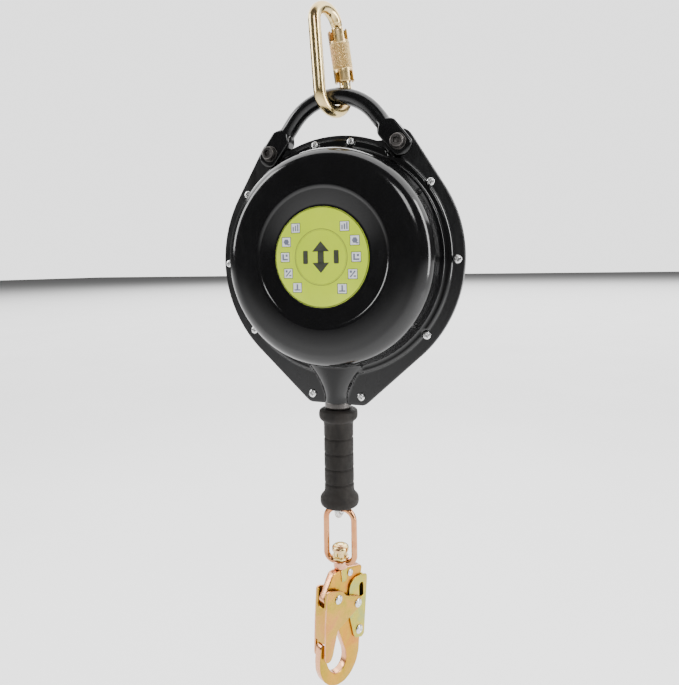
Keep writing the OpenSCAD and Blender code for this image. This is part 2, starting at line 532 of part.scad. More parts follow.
module hook_gate() color([0.8, 0.6, 0.35]) HK() difference() {
  union() {
    for (s = [0, 1]) mirror([0, s, 0]) slab(6.5, 8.7) gate_2d();
    slab(-7, 7) polygon([[-25.5, -323], [-23.2, -323], [-24.9, -350], [-25.9, -371.2], [-28.6, -371.2], [-27.8, -350]]);
  }
  slab(-4.8, 4.8) translate([-40, -338.5]) square([22, 20]);
  pin_at(pa, 2.5, -20, 20);
  pin_at(pb, 2, -20, 20);
}
module gate_rivet() color([0.8, 0.8, 0.82]) HK() riveted(pa, 2.5, 8.7, 4.2);
module gate_studs() color([0.8, 0.8, 0.82]) HK() for (s = [0, 1]) mirror([0, s, 0]) { pin_at(pb, 2, 6.5, 8.7); pin_at(pb, 4.2, 8.7, 10.4); }
module gate_spring() color([0.7, 0.7, 0.7]) HK() translate([pa[0], 4.7, pa[1]]) rotate([-90, 0, 0]) helix(3.6, 0.5, 1.1, 1, 8, 24);
lever_pts = concat([[5.4, -358], [5.6, -334]], [[6.8, -328.6], [10, -325], [14.5, -323.2], [20, -323]], [[30.6, -325.4], [31, -329], [25.4, -384], [22, -386.4], [12.4, -383], [10.6, -379]]);
module lock_lever() color([0.72, 0.66, 0.3]) HK() difference() {
  union() {
    for (s = [0, 1]) mirror([0, s, 0]) slab(4.3, 6.1) polygon(lever_pts);
    slab(-5, 5) polygon([[28.7, -329], [30.9, -329], [25.4, -384], [23.4, -384]]);
  }
  pin_at(pc, 2.55, -20, 20);
  slab(-20, -4.2) union() { translate([22.4, -334]) circle(2.9, $fn = 32); translate([19.5, -345]) square([5.8, 11]); }
}
module lock_rivet() color([0.8, 0.8, 0.82]) HK() riveted(pc, 2.5, 6.2, 4.2);
module lock_spring() color([0.7, 0.7, 0.7]) HK() translate([17.9, 0, -338]) rotate([0, 90, 0]) helix(2.6, 0.4, 1.2, 2.5, 8, 16);

carabiner_body();
gate_bar();
gate_pivot_pin();
twist_sleeve();
sleeve_spring();
bail_handle();
bail_bolts();
bail_washers();
bail_nuts();
front_cover();
rear_cover();
cover_gasket();
cover_screws();
cover_nuts();
front_label();
neck_collar();
neck_bush();
main_shaft();
shaft_end_screws();
drum_core();
drum_front_flange();
drum_rear_flange();
drum_bushings();
drum_screws();
lifeline_coil();
lifeline_anchor();
spring_arbor();
power_spring();
spring_case();
spring_case_cover();
brake_hub();
ratchet_ring();
friction_washers();
pressure_plate();
brake_disc_spring();
brake_nut();
pawl_a();
pawl_b();
pawl_pins();
pawl_springs();
lifeline_run();
lifeline_tail();
stop_sleeve();
line_ferrule();
lifeline_eye();
eye_thimble();
hand_grip();
swivel_link();
swivel_nut();
swivel_stem();
hook_body();
stem_rivet();
hook_gate();
gate_rivet();
gate_studs();
gate_spring();
lock_lever();
lock_rivet();
lock_spring();
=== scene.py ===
import math

import bpy
import bmesh
import numpy as np
from mathutils import Matrix, Vector


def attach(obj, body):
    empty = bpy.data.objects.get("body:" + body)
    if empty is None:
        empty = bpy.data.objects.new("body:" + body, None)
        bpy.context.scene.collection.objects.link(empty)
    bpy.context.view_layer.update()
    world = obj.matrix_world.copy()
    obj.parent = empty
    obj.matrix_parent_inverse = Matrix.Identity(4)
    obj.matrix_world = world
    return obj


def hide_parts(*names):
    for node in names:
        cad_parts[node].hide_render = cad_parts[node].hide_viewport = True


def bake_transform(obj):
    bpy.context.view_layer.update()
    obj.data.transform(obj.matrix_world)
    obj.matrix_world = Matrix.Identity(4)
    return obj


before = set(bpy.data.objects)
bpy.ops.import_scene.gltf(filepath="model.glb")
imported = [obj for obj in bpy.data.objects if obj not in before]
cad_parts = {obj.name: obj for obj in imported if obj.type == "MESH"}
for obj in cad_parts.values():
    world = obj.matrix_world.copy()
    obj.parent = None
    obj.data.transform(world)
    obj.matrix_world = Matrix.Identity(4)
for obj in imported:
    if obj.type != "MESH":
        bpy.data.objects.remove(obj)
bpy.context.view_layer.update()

scene = bpy.context.scene
MM = 0.001
rng = np.random.default_rng(7)

# ------------------------------------------------------------------ camera
AZ = math.radians(21.5)
cam_data = bpy.data.cameras.new("camera")
cam = bpy.data.objects.new("camera", cam_data)
scene.collection.objects.link(cam)
cam_data.lens = 28.64
cam_data.sensor_width = 36
cam_data.sensor_fit = "AUTO"
cam_data.clip_start = 0.01
cam_data.clip_end = 100
D = 0.545
cam.location = (D * math.sin(AZ), -D * math.cos(AZ), -0.2425)
cam.rotation_euler = (Matrix.Rotation(AZ, 4, "Z") @ Matrix.Rotation(math.pi / 2, 4, "X") @ Matrix.Rotation(math.radians(-0.9), 4, "Z")).to_euler()
cam_data.shift_x = 0.0050
cam_data.shift_y = -0.1102
scene.camera = cam

# ------------------------------------------------------------------ places
HZ = -233.0
M_H = Matrix.Translation((0, 0, HZ))
M_CB = M_H @ Matrix.Rotation(math.radians(68.5), 4, "Z")
M_HK = M_H @ Matrix.Rotation(math.radians(63.5), 4, "Z")
LOW, LOW_R, TOP, TOP_R, BAR = np.array([0.0, 166.0]), 19.8, np.array([-9.4, 230.3]), 16.0, 6.25
_d = TOP - LOW
_a = math.degrees(math.atan2(_d[1], _d[0]))
_b = math.degrees(math.acos((LOW_R - TOP_R) / np.linalg.norm(_d)))
CB_L, CB_R = _a + _b, _a - _b


def on(c, r, a):
    return np.array([c[0] + r * math.cos(math.radians(a)), c[1] + r * math.sin(math.radians(a))])


G0, G1 = on(LOW, LOW_R, CB_R), on(TOP, TOP_R, CB_R)
GLEN = float(np.linalg.norm(G1 - G0))
LEAN = math.atan2(G1[0] - G0[0], G1[1] - G0[1])
M_GATE = M_CB @ Matrix.Translation((G0[0], 0, G0[1])) @ Matrix.Rotation(LEAN, 4, "Y")


# ------------------------------------------------------------------ materials
def new_mat(name):
    m = bpy.data.materials.new(name)
    m.use_nodes = True
    nt = m.node_tree
    b = nt.nodes["Principled BSDF"]
    return m, nt, b


def coords(nt):
    n = nt.nodes.new("ShaderNodeTexCoord")
    return n.outputs["Object"]


def noise_node(nt, vec, scale, detail=3.0, rough=0.5, distortion=0.0):
    n = nt.nodes.new("ShaderNodeTexNoise")
    n.inputs["Scale"].default_value = scale
    n.inputs["Detail"].default_value = detail
    n.inputs["Roughness"].default_value = rough
    n.inputs["Distortion"].default_value = distortion
    nt.links.new(vec, n.inputs["Vector"])
    return n.outputs["Fac"]


def ramp(nt, fac, stops):
    r = nt.nodes.new("ShaderNodeValToRGB")
    els = r.color_ramp.elements
    els[0].position, els[0].color = stops[0][0], (*stops[0][1], 1)
    els[1].position, els[1].color = stops[-1][0], (*stops[-1][1], 1)
    for p, c in stops[1:-1]:
        e = els.new(p)
        e.color = (*c, 1)
    nt.links.new(fac, r.inputs["Fac"])
    return r.outputs["Color"]


def span(nt, fac, lo, hi, a=0.3, b=0.7):
    n = nt.nodes.new("ShaderNodeMapRange")
    n.inputs["From Min"].default_value = a
    n.inputs["From Max"].default_value = b
    n.inputs["To Min"].default_value = lo
    n.inputs["To Max"].default_value = hi
    nt.links.new(fac, n.inputs["Value"])
    return n.outputs["Result"]


def bump(nt, b, fac, strength, dist=0.0002):
    n = nt.nodes.new("ShaderNodeBump")
    n.inputs["Strength"].default_value = strength
    n.inputs["Distance"].default_value = dist
    nt.links.new(fac, n.inputs["Height"])
    nt.links.new(n.outputs["Normal"], b.inputs["Normal"])
    return n


def stretch(nt, vec, s):
    n = nt.nodes.new("ShaderNodeMapping")
    n.inputs["Scale"].default_value = s
    nt.links.new(vec, n.inputs["Vector"])
    return n.outputs["Vector"]


def surface(name, stops, rough, scale=45, metallic=1.0, bump_s=0.15, bump_scale=900, fine=0.12, brushed=None, coat=0.0, distortion=0.0, rscale=160):
    """colour drifts between the stops, roughness between its two limits, with fine speckle and bump"""
    m, nt, b = new_mat(name)
    v = coords(nt)
    big = noise_node(nt, v, scale, 4, 0.55, distortion)
    col = ramp(nt, big, stops)
    small = noise_node(nt, v, scale * 14, 3, 0.6)
    mix = nt.nodes.new("ShaderNodeMix")
    mix.data_type = "RGBA"
    mix.blend_type = "MULTIPLY"
    mix.inputs["Factor"].default_value = 1.0
    nt.links.new(col, mix.inputs["A"])
    nt.links.new(ramp(nt, small, [(0.3, (1 - fine,) * 3), (0.7, (1.0, 1.0, 1.0))]), mix.inputs["B"])
    nt.links.new(mix.outputs["Result"], b.inputs["Base Color"])
    b.inputs["Metallic"].default_value = metallic
    b.inputs["Coat Weight"].default_value = coat
    nt.links.new(span(nt, noise_node(nt, v, rscale, 4, 0.6), rough[0], rough[1]), b.inputs["Roughness"])
    bv = stretch(nt, v, brushed) if brushed else v
    bump(nt, b, noise_node(nt, bv, bump_scale, 2, 0.5), bump_s, 0.00015)
    return m


def black_gloss(name, rough, base=0.0015, peel=0.05):
    m, nt, b = new_mat(name)
    v = coords(nt)
    col = ramp(nt, noise_node(nt, v, 30, 5, 0.6), [(0.3, (base, base, base * 1.1)), (0.7, (base * 1.9, base * 1.9, base * 2.15))])
    nt.links.new(col, b.inputs["Base Color"])
    b.inputs["Metallic"].default_value = 0.0
    b.inputs["Specular IOR Level"].default_value = 0.42
    b.inputs["Coat Weight"].default_value = 0.15
    b.inputs["Coat Roughness"].default_value = 0.08
    scuff = noise_node(nt, stretch(nt, v, (1, 1, 0.25)), 220, 6, 0.7)
    nt.links.new(span(nt, scuff, rough[0], rough[1]), b.inputs["Roughness"])
    bump(nt, b, noise_node(nt, v, 420, 2, 0.5), peel, 0.0002)
    return m


mats = {
    "carabiner": surface("carabiner_zinc", [(0.25, (0.62, 0.36, 0.20)), (0.42, (0.66, 0.49, 0.22)), (0.58, (0.72, 0.58, 0.30)), (0.75, (0.66, 0.38, 0.25))], (0.14, 0.28), scale=38, bump_s=0.12),
    "knurl": surface("sleeve_zinc", [(0.3, (0.55, 0.38, 0.16)), (0.5, (0.64, 0.48, 0.23)), (0.7, (0.62, 0.38, 0.22))], (0.24, 0.40), scale=60, bump_s=0.2),
    "link": surface("link_zinc", [(0.28, (0.46, 0.17, 0.075)), (0.5, (0.56, 0.25, 0.11)), (0.72, (0.62, 0.32, 0.15))], (0.16, 0.30), scale=55),
    "nut": surface("nut_zinc", [(0.3, (0.66, 0.50, 0.16)), (0.5, (0.76, 0.60, 0.26)), (0.7, (0.68, 0.38, 0.20))], (0.14, 0.28), scale=110),
    "collar": surface("collar_zinc", [(0.3, (0.66, 0.30, 0.18)), (0.7, (0.74, 0.42, 0.28))], (0.18, 0.32), scale=90),
    "hook": surface("hook_zinc", [(0.26, (0.26, 0.24, 0.015)), (0.42, (0.44, 0.27, 0.02)), (0.56, (0.54, 0.27, 0.022)), (0.70, (0.54, 0.19, 0.03))], (0.26, 0.42), scale=34, bump_s=0.22, distortion=0.8),
    "gate": surface("gate_zinc", [(0.26, (0.30, 0.28, 0.02)), (0.42, (0.46, 0.29, 0.03)), (0.56, (0.54, 0.28, 0.045)), (0.72, (0.54, 0.20, 0.065))], (0.24, 0.38), scale=40, bump_s=0.15, distortion=0.8),
    "lever": surface("lever_zinc", [(0.24, (0.20, 0.25, 0.30)), (0.36, (0.30, 0.34, 0.12)), (0.52, (0.44, 0.39, 0.05)), (0.74, (0.60, 0.34, 0.08))], (0.24, 0.38), scale=42, bump_s=0.15, distortion=1.0),
    # lighter copper zinc used only on side faces: a painted highlight along the edges, not the plating's own colour
    "edge_highlight": surface("painted_edge_highlight_zinc", [(0.3, (0.64, 0.27, 0.13)), (0.5, (0.72, 0.36, 0.18)), (0.7, (0.64, 0.30, 0.18))], (0.20, 0.34), scale=60),
    "bright": surface("bright_steel", [(0.3, (0.60, 0.60, 0.60)), (0.7, (0.78, 0.78, 0.77))], (0.18, 0.34), scale=160, bump_s=0.1),
    "rope": surface("galvanised_strand", [(0.3, (0.50, 0.50, 0.49)), (0.7, (0.72, 0.72, 0.70))], (0.28, 0.45), scale=300, bump_s=0.4, bump_scale=2600),
    "oxide": surface("black_oxide", [(0.3, (0.05, 0.048, 0.046)), (0.7, (0.13, 0.12, 0.115))], (0.28, 0.46), scale=150, metallic=0.9, bump_s=0.2),
    "machined": surface("machined_steel", [(0.3, (0.44, 0.44, 0.46)), (0.7, (0.60, 0.60, 0.62))], (0.24, 0.42), scale=80, brushed=(1, 1, 0.1)),
    "spring": surface("blued_spring_steel", [(0.3, (0.18, 0.20, 0.26)), (0.7, (0.38, 0.40, 0.46))], (0.25, 0.4), scale=90),
    "aluminium": surface("cast_aluminium", [(0.3, (0.62, 0.63, 0.65)), (0.7, (0.74, 0.75, 0.77))], (0.34, 0.52), scale=70, bump_s=0.3, bump_scale=1500),
    "bronze": surface("bearing_bronze", [(0.3, (0.50, 0.30, 0.12)), (0.7, (0.68, 0.44, 0.20))], (0.28, 0.44), scale=120),
    "nylon": surface("natural_nylon", [(0.3, (0.70, 0.68, 0.60)), (0.7, (0.78, 0.76, 0.70))], (0.42, 0.55), scale=80, metallic=0.0, bump_s=0.1),
    "lining": surface("friction_lining", [(0.3, (0.11, 0.08, 0.055)), (0.7, (0.20, 0.15, 0.10))], (0.7, 0.85), scale=400, metallic=0.0, bump_s=0.5),
    "gasket": surface("gasket_rubber", [(0.3, (0.010, 0.010, 0.010)), (0.7, (0.022, 0.022, 0.022))], (0.6, 0.75), scale=120, metallic=0.0),
    "black": black_gloss("black_enamel", (0.10, 0.20)),
    "black_flange": black_gloss("black_enamel_flange", (0.24, 0.40), base=0.0025, peel=0.12),
    "black_bail": black_gloss("black_enamel_bail", (0.14, 0.26)),
}


def make_rubber():
    m, nt, b = new_mat("grip_rubber")
    v = coords(nt)
    col = ramp(nt, noise_node(nt, stretch(nt, v, (1, 1, 0.35)), 90, 6, 0.65), [(0.3, (0.009, 0.0078, 0.0070)), (0.6, (0.017, 0.0145, 0.0125)), (0.75, (0.028, 0.024, 0.020))])
    nt.links.new(col, b.inputs["Base Color"])
    b.inputs["Specular IOR Level"].default_value = 0.2
    nt.links.new(span(nt, noise_node(nt, v, 240, 5, 0.6), 0.58, 0.78), b.inputs["Roughness"])
    bump(nt, b, noise_node(nt, v, 1300, 4, 0.6), 0.35, 0.0003)
    return m


def make_label():
    m, nt, b = new_mat("label_print")
    v = coords(nt)
    dots = nt.nodes.new("ShaderNodeTexVoronoi")
    dots.inputs["Scale"].default_value = 1500
    nt.links.new(v, dots.inputs["Vector"])
    col = ramp(nt, noise_node(nt, v, 22, 4, 0.5), [(0.3, (0.44, 0.60, 0.006)), (0.7, (0.52, 0.68, 0.010))])
    mix = nt.nodes.new("ShaderNodeMix")
    mix.data_type = "RGBA"
    mix.blend_type = "MULTIPLY"
    mix.inputs["Factor"].default_value = 1.0
    nt.links.new(col, mix.inputs["A"])
    nt.links.new(ramp(nt, dots.outputs["Distance"], [(0.0, (0.94, 0.94, 0.92)), (0.6, (1, 1, 1))]), mix.inputs["B"])
    nt.links.new(mix.outputs["Result"], b.inputs["Base Color"])
    nt.links.new(span(nt, noise_node(nt, v, 90, 3, 0.5), 0.30, 0.42), b.inputs["Roughness"])
    bump(nt, b, noise_node(nt, v, 700, 2, 0.5), 0.06, 0.0002)
    return m


def print_ink(name, lo, hi, rough=(0.4, 0.55)):
    return surface(name, [(0.3, lo), (0.7, hi)], rough, scale=200, metallic=0.0, bump_s=0.05)


mats["rubber"] = make_rubber()
mats["label"] = make_label()
mats["ink_dark"] = print_ink("print_dark", (0.020, 0.024, 0.012), (0.034, 0.038, 0.022))
mats["ink_olive"] = print_ink("print_olive", (0.16, 0.20, 0.03), (0.20, 0.24, 0.05))
mats["ink_pale"] = print_ink("print_pale", (0.62, 0.65, 0.66), (0.74, 0.76, 0.78))
mats["ink_blue"] = print_ink("print_slate", (0.10, 0.11, 0.16), (0.15, 0.16, 0.22))


# ------------------------------------------------------------------ mesh helpers
def make(name, verts, faces, M, mat, body, slot, replaces=(), angle=35, bevel=None, seg=3, bevel_angle=35, edge_highlight=None, cut=None, subsurf=0):
    me = bpy.data.meshes.new(name)
    me.from_pydata([tuple(v) for v in verts], [], [tuple(int(i) for i in f) for f in faces])
    bm = bmesh.new()
    bm.from_mesh(me)
    bmesh.ops.remove_doubles(bm, verts=bm.verts, dist=1e-5)
    bmesh.ops.recalc_face_normals(bm, faces=bm.faces)
    bm.to_mesh(me)
    bm.free()
    ob = bpy.data.objects.new(name, me)
    scene.collection.objects.link(ob)
    helpers = []
    for c in cut or ():
        cm = bpy.data.meshes.new("cut")
        cm.from_pydata([tuple(v) for v in c[0]], [], [tuple(int(i) for i in f) for f in c[1]])
        bm = bmesh.new()
        bm.from_mesh(cm)
        bmesh.ops.recalc_face_normals(bm, faces=bm.faces)
        bm.to_mesh(cm)
        bm.free()
        co = bpy.data.objects.new("cut", cm)
        scene.collection.objects.link(co)
        helpers.append(co)
        md = ob.modifiers.new("cut", "BOOLEAN")
        md.operation = "DIFFERENCE"
        md.solver = "EXACT"
        md.object = co
    if bevel:
        md = ob.modifiers.new("bevel", "BEVEL")
        md.width = bevel
        md.segments = seg
        md.limit_method = "ANGLE"
        md.angle_limit = math.radians(bevel_angle)
        md.use_clamp_overlap = True
    if subsurf:
        md = ob.modifiers.new("sub", "SUBSURF")
        md.levels = md.render_levels = subsurf
    if ob.modifiers:
        bpy.context.view_layer.update()
        dg = bpy.context.evaluated_depsgraph_get()
        new = bpy.data.meshes.new_from_object(ob.evaluated_get(dg))
        ob.modifiers.clear()
        ob.data = new
        for h in helpers:
            bpy.data.objects.remove(h)
    me = ob.data
    me.materials.clear()
    me.materials.append(mats[mat])
    # side faces (normal across Y) get the second material, a lighter colour copy of the plating: painted highlight
    # along the edges
    if edge_highlight:
        me.materials.append(mats[edge_highlight])
        for p in me.polygons:
            p.material_index = 1 if abs(p.normal.y) < 0.8 else 0
    me.transform(Matrix.Scale(MM, 4) @ M)
    for p in me.polygons:
        p.use_smooth = True
    me.set_sharp_from_angle(angle=math.radians(angle))
    me.update()
    if body:
        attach(ob, body)
    if replaces:
        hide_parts(*replaces)
    return ob


def merge(parts):
    V, F, n = [], [], 0
    for v, f in parts:
        V.extend([tuple(p) for p in v])
        F.extend([[i + n for i in q] for q in f])
        n += len(v)
    return V, F


def move(part, M):
    return [tuple(M @ Vector(p)) for p in part[0]], part[1]


def slab(outline, y0, y1):
    """prism of an (x, z) outline from y0 to y1"""
    n = len(outline)
    v = [(p[0], y0, p[1]) for p in outline] + [(p[0], y1, p[1]) for p in outline]
    f = [list(range(n)), list(range(2 * n - 1, n - 1, -1))] + [[i, (i + 1) % n, n + (i + 1) % n, n + i] for i in range(n)]
    return v, f


def chaikin(pts, times=2, keep=0.25):
    pts = [np.array(p, float) for p in pts]
    for _ in range(times):
        out = []
        n = len(pts)
        for i in range(n):
            a, b = pts[i], pts[(i + 1) % n]
            out += [a * (1 - keep) + b * keep, a * keep + b * (1 - keep)]
        pts = out
    return pts


def round_corners(pts, r, seg=5):
    """an outline with each corner turned into an arc of about radius r"""
    pts = [np.array(p, float) for p in pts]
    out = []
    n = len(pts)
    for i in range(n):
        p0, p1, p2 = pts[i - 1], pts[i], pts[(i + 1) % n]
        u, w = p0 - p1, p2 - p1
        lu, lw = np.linalg.norm(u), np.linalg.norm(w)
        k = min(r, lu * 0.45, lw * 0.45)
        a, c = p1 + u / lu * k, p1 + w / lw * k
        for j in range(seg + 1):
            t = j / seg
            out.append((1 - t) ** 2 * a + 2 * t * (1 - t) * p1 + t * t * c)
    return out


def lathe(rings, n=96, closed=False):
    """rings of (radius or radius(angle), z) about Z, from one end to the other; radius 0 makes a pole"""
    V, F, idx = [], [], []
    for r, z in rings:
        if not callable(r) and r == 0:
            idx.append([len(V)])
            V.append((0, 0, z))
        else:
            row = []
            for k in range(n):
                a = 2 * math.pi * k / n
                rr = r(a) if callable(r) else r
                row.append(len(V))
                V.append((rr * math.cos(a), rr * math.sin(a), z))
            idx.append(row)
    pairs = list(zip(idx, idx[1:])) + ([(idx[-1], idx[0])] if closed else [])
    for a, b in pairs:
        for k in range(n):
            k2 = (k + 1) % n
            if len(a) == 1 and len(b) == 1:
                continue
            if len(a) == 1:
                F.append([a[0], b[k], b[k2]])
            elif len(b) == 1:
                F.append([a[k2], a[k], b[0]])
            else:
                F.append([a[k], b[k], b[k2], a[k2]])
    return V, F


def frames(path):
    path = np.array(path, float)
    t = np.gradient(path, axis=0)
    t /= np.linalg.norm(t, axis=1)[:, None]
    ref = np.array([0, 1.0, 0]) if abs(t[0][1]) < 0.9 else np.array([1.0, 0, 0])
    u = ref - t[0] * ref.dot(t[0])
    u /= np.linalg.norm(u)
    us = [u]
    for k in range(1, len(path)):
        u = us[-1] - t[k] * us[-1].dot(t[k])
        u /= np.linalg.norm(u)
        us.append(u)
    us = np.array(us)
    return path, t, us, np.cross(t, us)


def sweep(path, section, caps=True):
    """section(k, s) gives the (u, w) ring at point k, s being 0 to 1 along the path; u is across, w is the other way"""
    path, t, us, ws = frames(path)
    V, F = [], []
    m = None
    for k in range(len(path)):
        ring = section(k, k / (len(path) - 1))
        m = len(ring)
        for a, b in ring:
            V.append(tuple(path[k] + us[k] * a + ws[k] * b))
    for k in range(len(path) - 1):
        for j in range(m):
            j2 = (j + 1) % m
            F.append([k * m + j, k * m + j2, (k + 1) * m + j2, (k + 1) * m + j])
    if caps:
        F.append(list(range(m - 1, -1, -1)))
        F.append([(len(path) - 1) * m + j for j in range(m)])
    return V, F


def circle_section(r, n=32):
    ring = [(r * math.cos(2 * math.pi * k / n), r * math.sin(2 * math.pi * k / n)) for k in range(n)]
    return lambda k, s: ring


def arc_pts(c, r, a0, a1, n):
    return [(c[0] + r * math.cos(math.radians(a0 + (a1 - a0) * i / n)), 0, c[1] + r * math.sin(math.radians(a0 + (a1 - a0) * i / n))) for i in range(n + 1)]


def line_pts(a, b, n):
    return [(a[0] + (b[0] - a[0]) * i / n, 0, a[1] + (b[1] - a[1]) * i / n) for i in range(1, n)]


# ------------------------------------------------------------------ covers
FLANGE_R, EAR, EAR_R, FOOT, FOOT_R = 127.5, (67.7, 107.9), 14.0, (25.7, -136.6), 9.0
G2, F2 = 0.5, 3.5


def touch(c, r, side):
    d = math.hypot(*c)
    a = math.atan2(c[1], c[0]) + side * math.acos((FLANGE_R - r) / d)
    return (FLANGE_R * math.cos(a), FLANGE_R * math.sin(a)), (c[0] + r * math.cos(a), c[1] + r * math.sin(a))


def in_poly(x, z, poly):
    c = np.zeros(x.shape, bool)
    for i in range(len(poly)):
        x0, z0 = poly[i]
        x1, z1 = poly[(i + 1) % len(poly)]
        if z0 == z1:
            continue
        c ^= ((z0 > z) != (z1 > z)) & (x < (x1 - x0) * (z - z0) / (z1 - z0) + x0)
    return c


def inside_outline(x, z):
    x = np.abs(x)
    r = np.hypot(x, z)
    t1, t2 = touch(EAR, EAR_R, -1), touch(FOOT, FOOT_R, 1)
    ok = (r < FLANGE_R) & (z < 112)
    ok |= r < 121
    ok |= in_poly(x, z, [(0, 0), t1[0], t1[1], EAR, (48, 110)])
    ok |= np.hypot(x - EAR[0], z - EAR[1]) < EAR_R
    ok |= in_poly(x, z, [(0, -100), t2[0], t2[1], FOOT, (0, -140)])
    ok |= np.hypot(x - FOOT[0], z - FOOT[1]) < FOOT_R
    ok |= (x < 25.7) & (z > -145.6) & (z < -100)
    return ok


def theta_list():
    out = []
    a = -180.0
    while a < 180.0 - 1e-6:
        out.append(a)
        a += 0.25 if abs(a + 90) < 22 else (0.4 if 48 < a < 132 else 0.6)
    return np.radians(np.array(out))


TH = theta_list()


def outline_radius(th):
    rho = np.arange(100, 170, 0.05)
    R = np.zeros(len(th))
    for i, a in enumerate(th):
        ok = inside_outline(rho * math.cos(a), rho * math.sin(a))
        R[i] = rho[ok].max()
    return R


R_OUT = outline_radius(TH)


def smax(a, b, k):
    h = np.clip(k - np.abs(a - b), 0, None)
    return np.maximum(a, b) + h * h / (4 * k)


def funnel_height(x, z):
    t = np.clip((-z - 98) / 40.0, 0, 1)
    ease = 1 - (1 - t) ** 1.7
    w = 38 - 25 * ease
    p = 3.4 - 1.4 * t
    q = np.clip(1 - (np.abs(x) / w) ** p, 0, 1)
    h = 13.0 * q ** (1 / p)
    return np.where((np.abs(x) < w) & (z < -88), h, -20)


def dome_profile(d):
    pts = [(50.2, d - 1.95), (51.0, d - 1.55), (64.2, d - 1.3), (65.2, d - 0.9), (66.3, d - 0.15), (68.5, d), (80, d), (86, d - 0.3), (90, d - 0.8)]
    for a in range(82, 3, -6):
        pts.append((90 + 15 * math.cos(math.radians(a)), d - 15.8 + 15 * math.sin(math.radians(a))))
    base = pts[-1]
    for k in range(1, 7):
        t = k / 7
        pts.append((base[0] + (109.0 - base[0]) * t ** 1.15, base[1] + (F2 + 3.1 - base[1]) * t))
    pts += [(109.2, F2 + 2.7), (109.7, F2 + 2.2), (110.6, F2 + 1.85), (111.6, F2 + 1.7), (113.4, F2 + 1.9), (114.6, F2 + 1.95), (115.5, F2 + 1.7), (116.2, F2 + 0.9), (116.7, F2 + 0.25), (117.4, F2)]
    return pts


SCREWS = [(19, 113), (97.2, 68.3), (121, -4), (91.4, -74.3), (25.7, -136.6)]


def bead_flat(x, z):
    """1 inside the flats cut for the screws and the bail ends, 0 outside"""
    x = np.abs(x)
    m = np.clip((14.6 - np.hypot(x - EAR[0], z - EAR[1])) / 0.7, 0, 1)
    for p in SCREWS:
        m = np.maximum(m, np.clip((4.9 - np.hypot(x - p[0], z - p[1])) / 0.6, 0, 1))
    return m


def make_cover(name, d, sign, body, node, recess):
    prof = dome_profile(d)
    rings = []  # (rho array, depth array)
    if recess:
        head = [(8.2, d - 2.02), (8.6, d - 1.98)]
    else:
        head = [(6.0, d - 2.0), (20, d - 2.0)]
    for r, y in head + [(30, d - 1.99), (42, d - 1.98), (48.6, d - 1.97)] + prof:
        rings.append((np.full(len(TH), r), np.full(len(TH), y)))
    lip = R_OUT - 1.2
    for t in (0.04, 0.1, 0.18, 0.27, 0.36, 0.46, 0.56, 0.66, 0.76, 0.86, 0.94, 1.0):
        rings.append((117.4 + (lip - 117.4) * t, np.full(len(TH), F2)))
    for dr, dy in ((0.7, 0.06), (0.3, 0.3), (0.08, 0.7)):
        rings.append((R_OUT - dr, np.full(len(TH), F2 - dy)))
    rings.append((R_OUT - 0.02, np.full(len(TH), F2 - 1.2)))
    last_top = len(rings)
    V, idx = [], []
    for k, (rho, y) in enumerate(rings):
        x, z = rho * np.cos(TH), rho * np.sin(TH)
        y = y.copy()
        y = np.where((rho > 109.6) & (y > F2), F2 + (y - F2) * (1 - bead_flat(x, z)), y)
        if k < last_top - 1:
            fh = funnel_height(x, z)
            y = np.where(fh > -10, smax(y, fh, 2.2), y)
        row = []
        for i in range(len(TH)):
            row.append(len(V))
            V.append((x[i], -sign * y[i], z[i]))
        idx.append(row)
    # underside: back down to the joint plane, the dome's inside and the centre hole
    inner = [(None, G2), (107.2, G2), (107.2, F2), (101.5, d - 19), (88, d - 3.6), (66, d - 2.6), (63.6, d - 4.6), (8, d - 4.6), (4.3, d - 4.6)]
    if recess:
        inner.append((4.3, d - 4.4))
    for r, y in inner:
        row = []
        for i, a in enumerate(TH):
            rr = R_OUT[i] - 0.02 if r is None else r
            row.append(len(V))
            V.append((rr * math.cos(a), -sign * y, rr * math.sin(a)))
        idx.append(row)
    F = []
    n = len(TH)
    for a, b in list(zip(idx, idx[1:])) + [(idx[-1], idx[0])]:
        for i in range(n):
            j = (i + 1) % n
            F.append([a[i], a[j], b[j], b[i]])
    ob = make(name, V, F, M_H, "black", body, "black_enamel", [node], angle=50)
    ob.data.materials.append(mats["black_flange"])
    for p in ob.data.polygons:
        c = p.center / MM
        x, z = c.x, c.z - HZ
        if math.hypot(x, z) > 116.8 and not (z < -95 and abs(x) < 30):
            p.material_index = 1
    return ob


make_cover("front_cover_pressing", 40.0, 1, "housing", "front_cover", False)
make_cover("rear_cover_pressing", 44.0, -1, "housing", "rear_cover", True)


def neck_lip():
    # the half round neck below the foot, front and rear in one turned piece
    rings = [(9.6, -143.1), (12.6, -143.1), (12.95, -142.7), (12.95, -140), (12.95, -130), (9.6, -130)]
    return lathe(rings, 96, closed=True)


make("neck_sleeve", *neck_lip(), M_H, "black", "housing", "black_enamel")


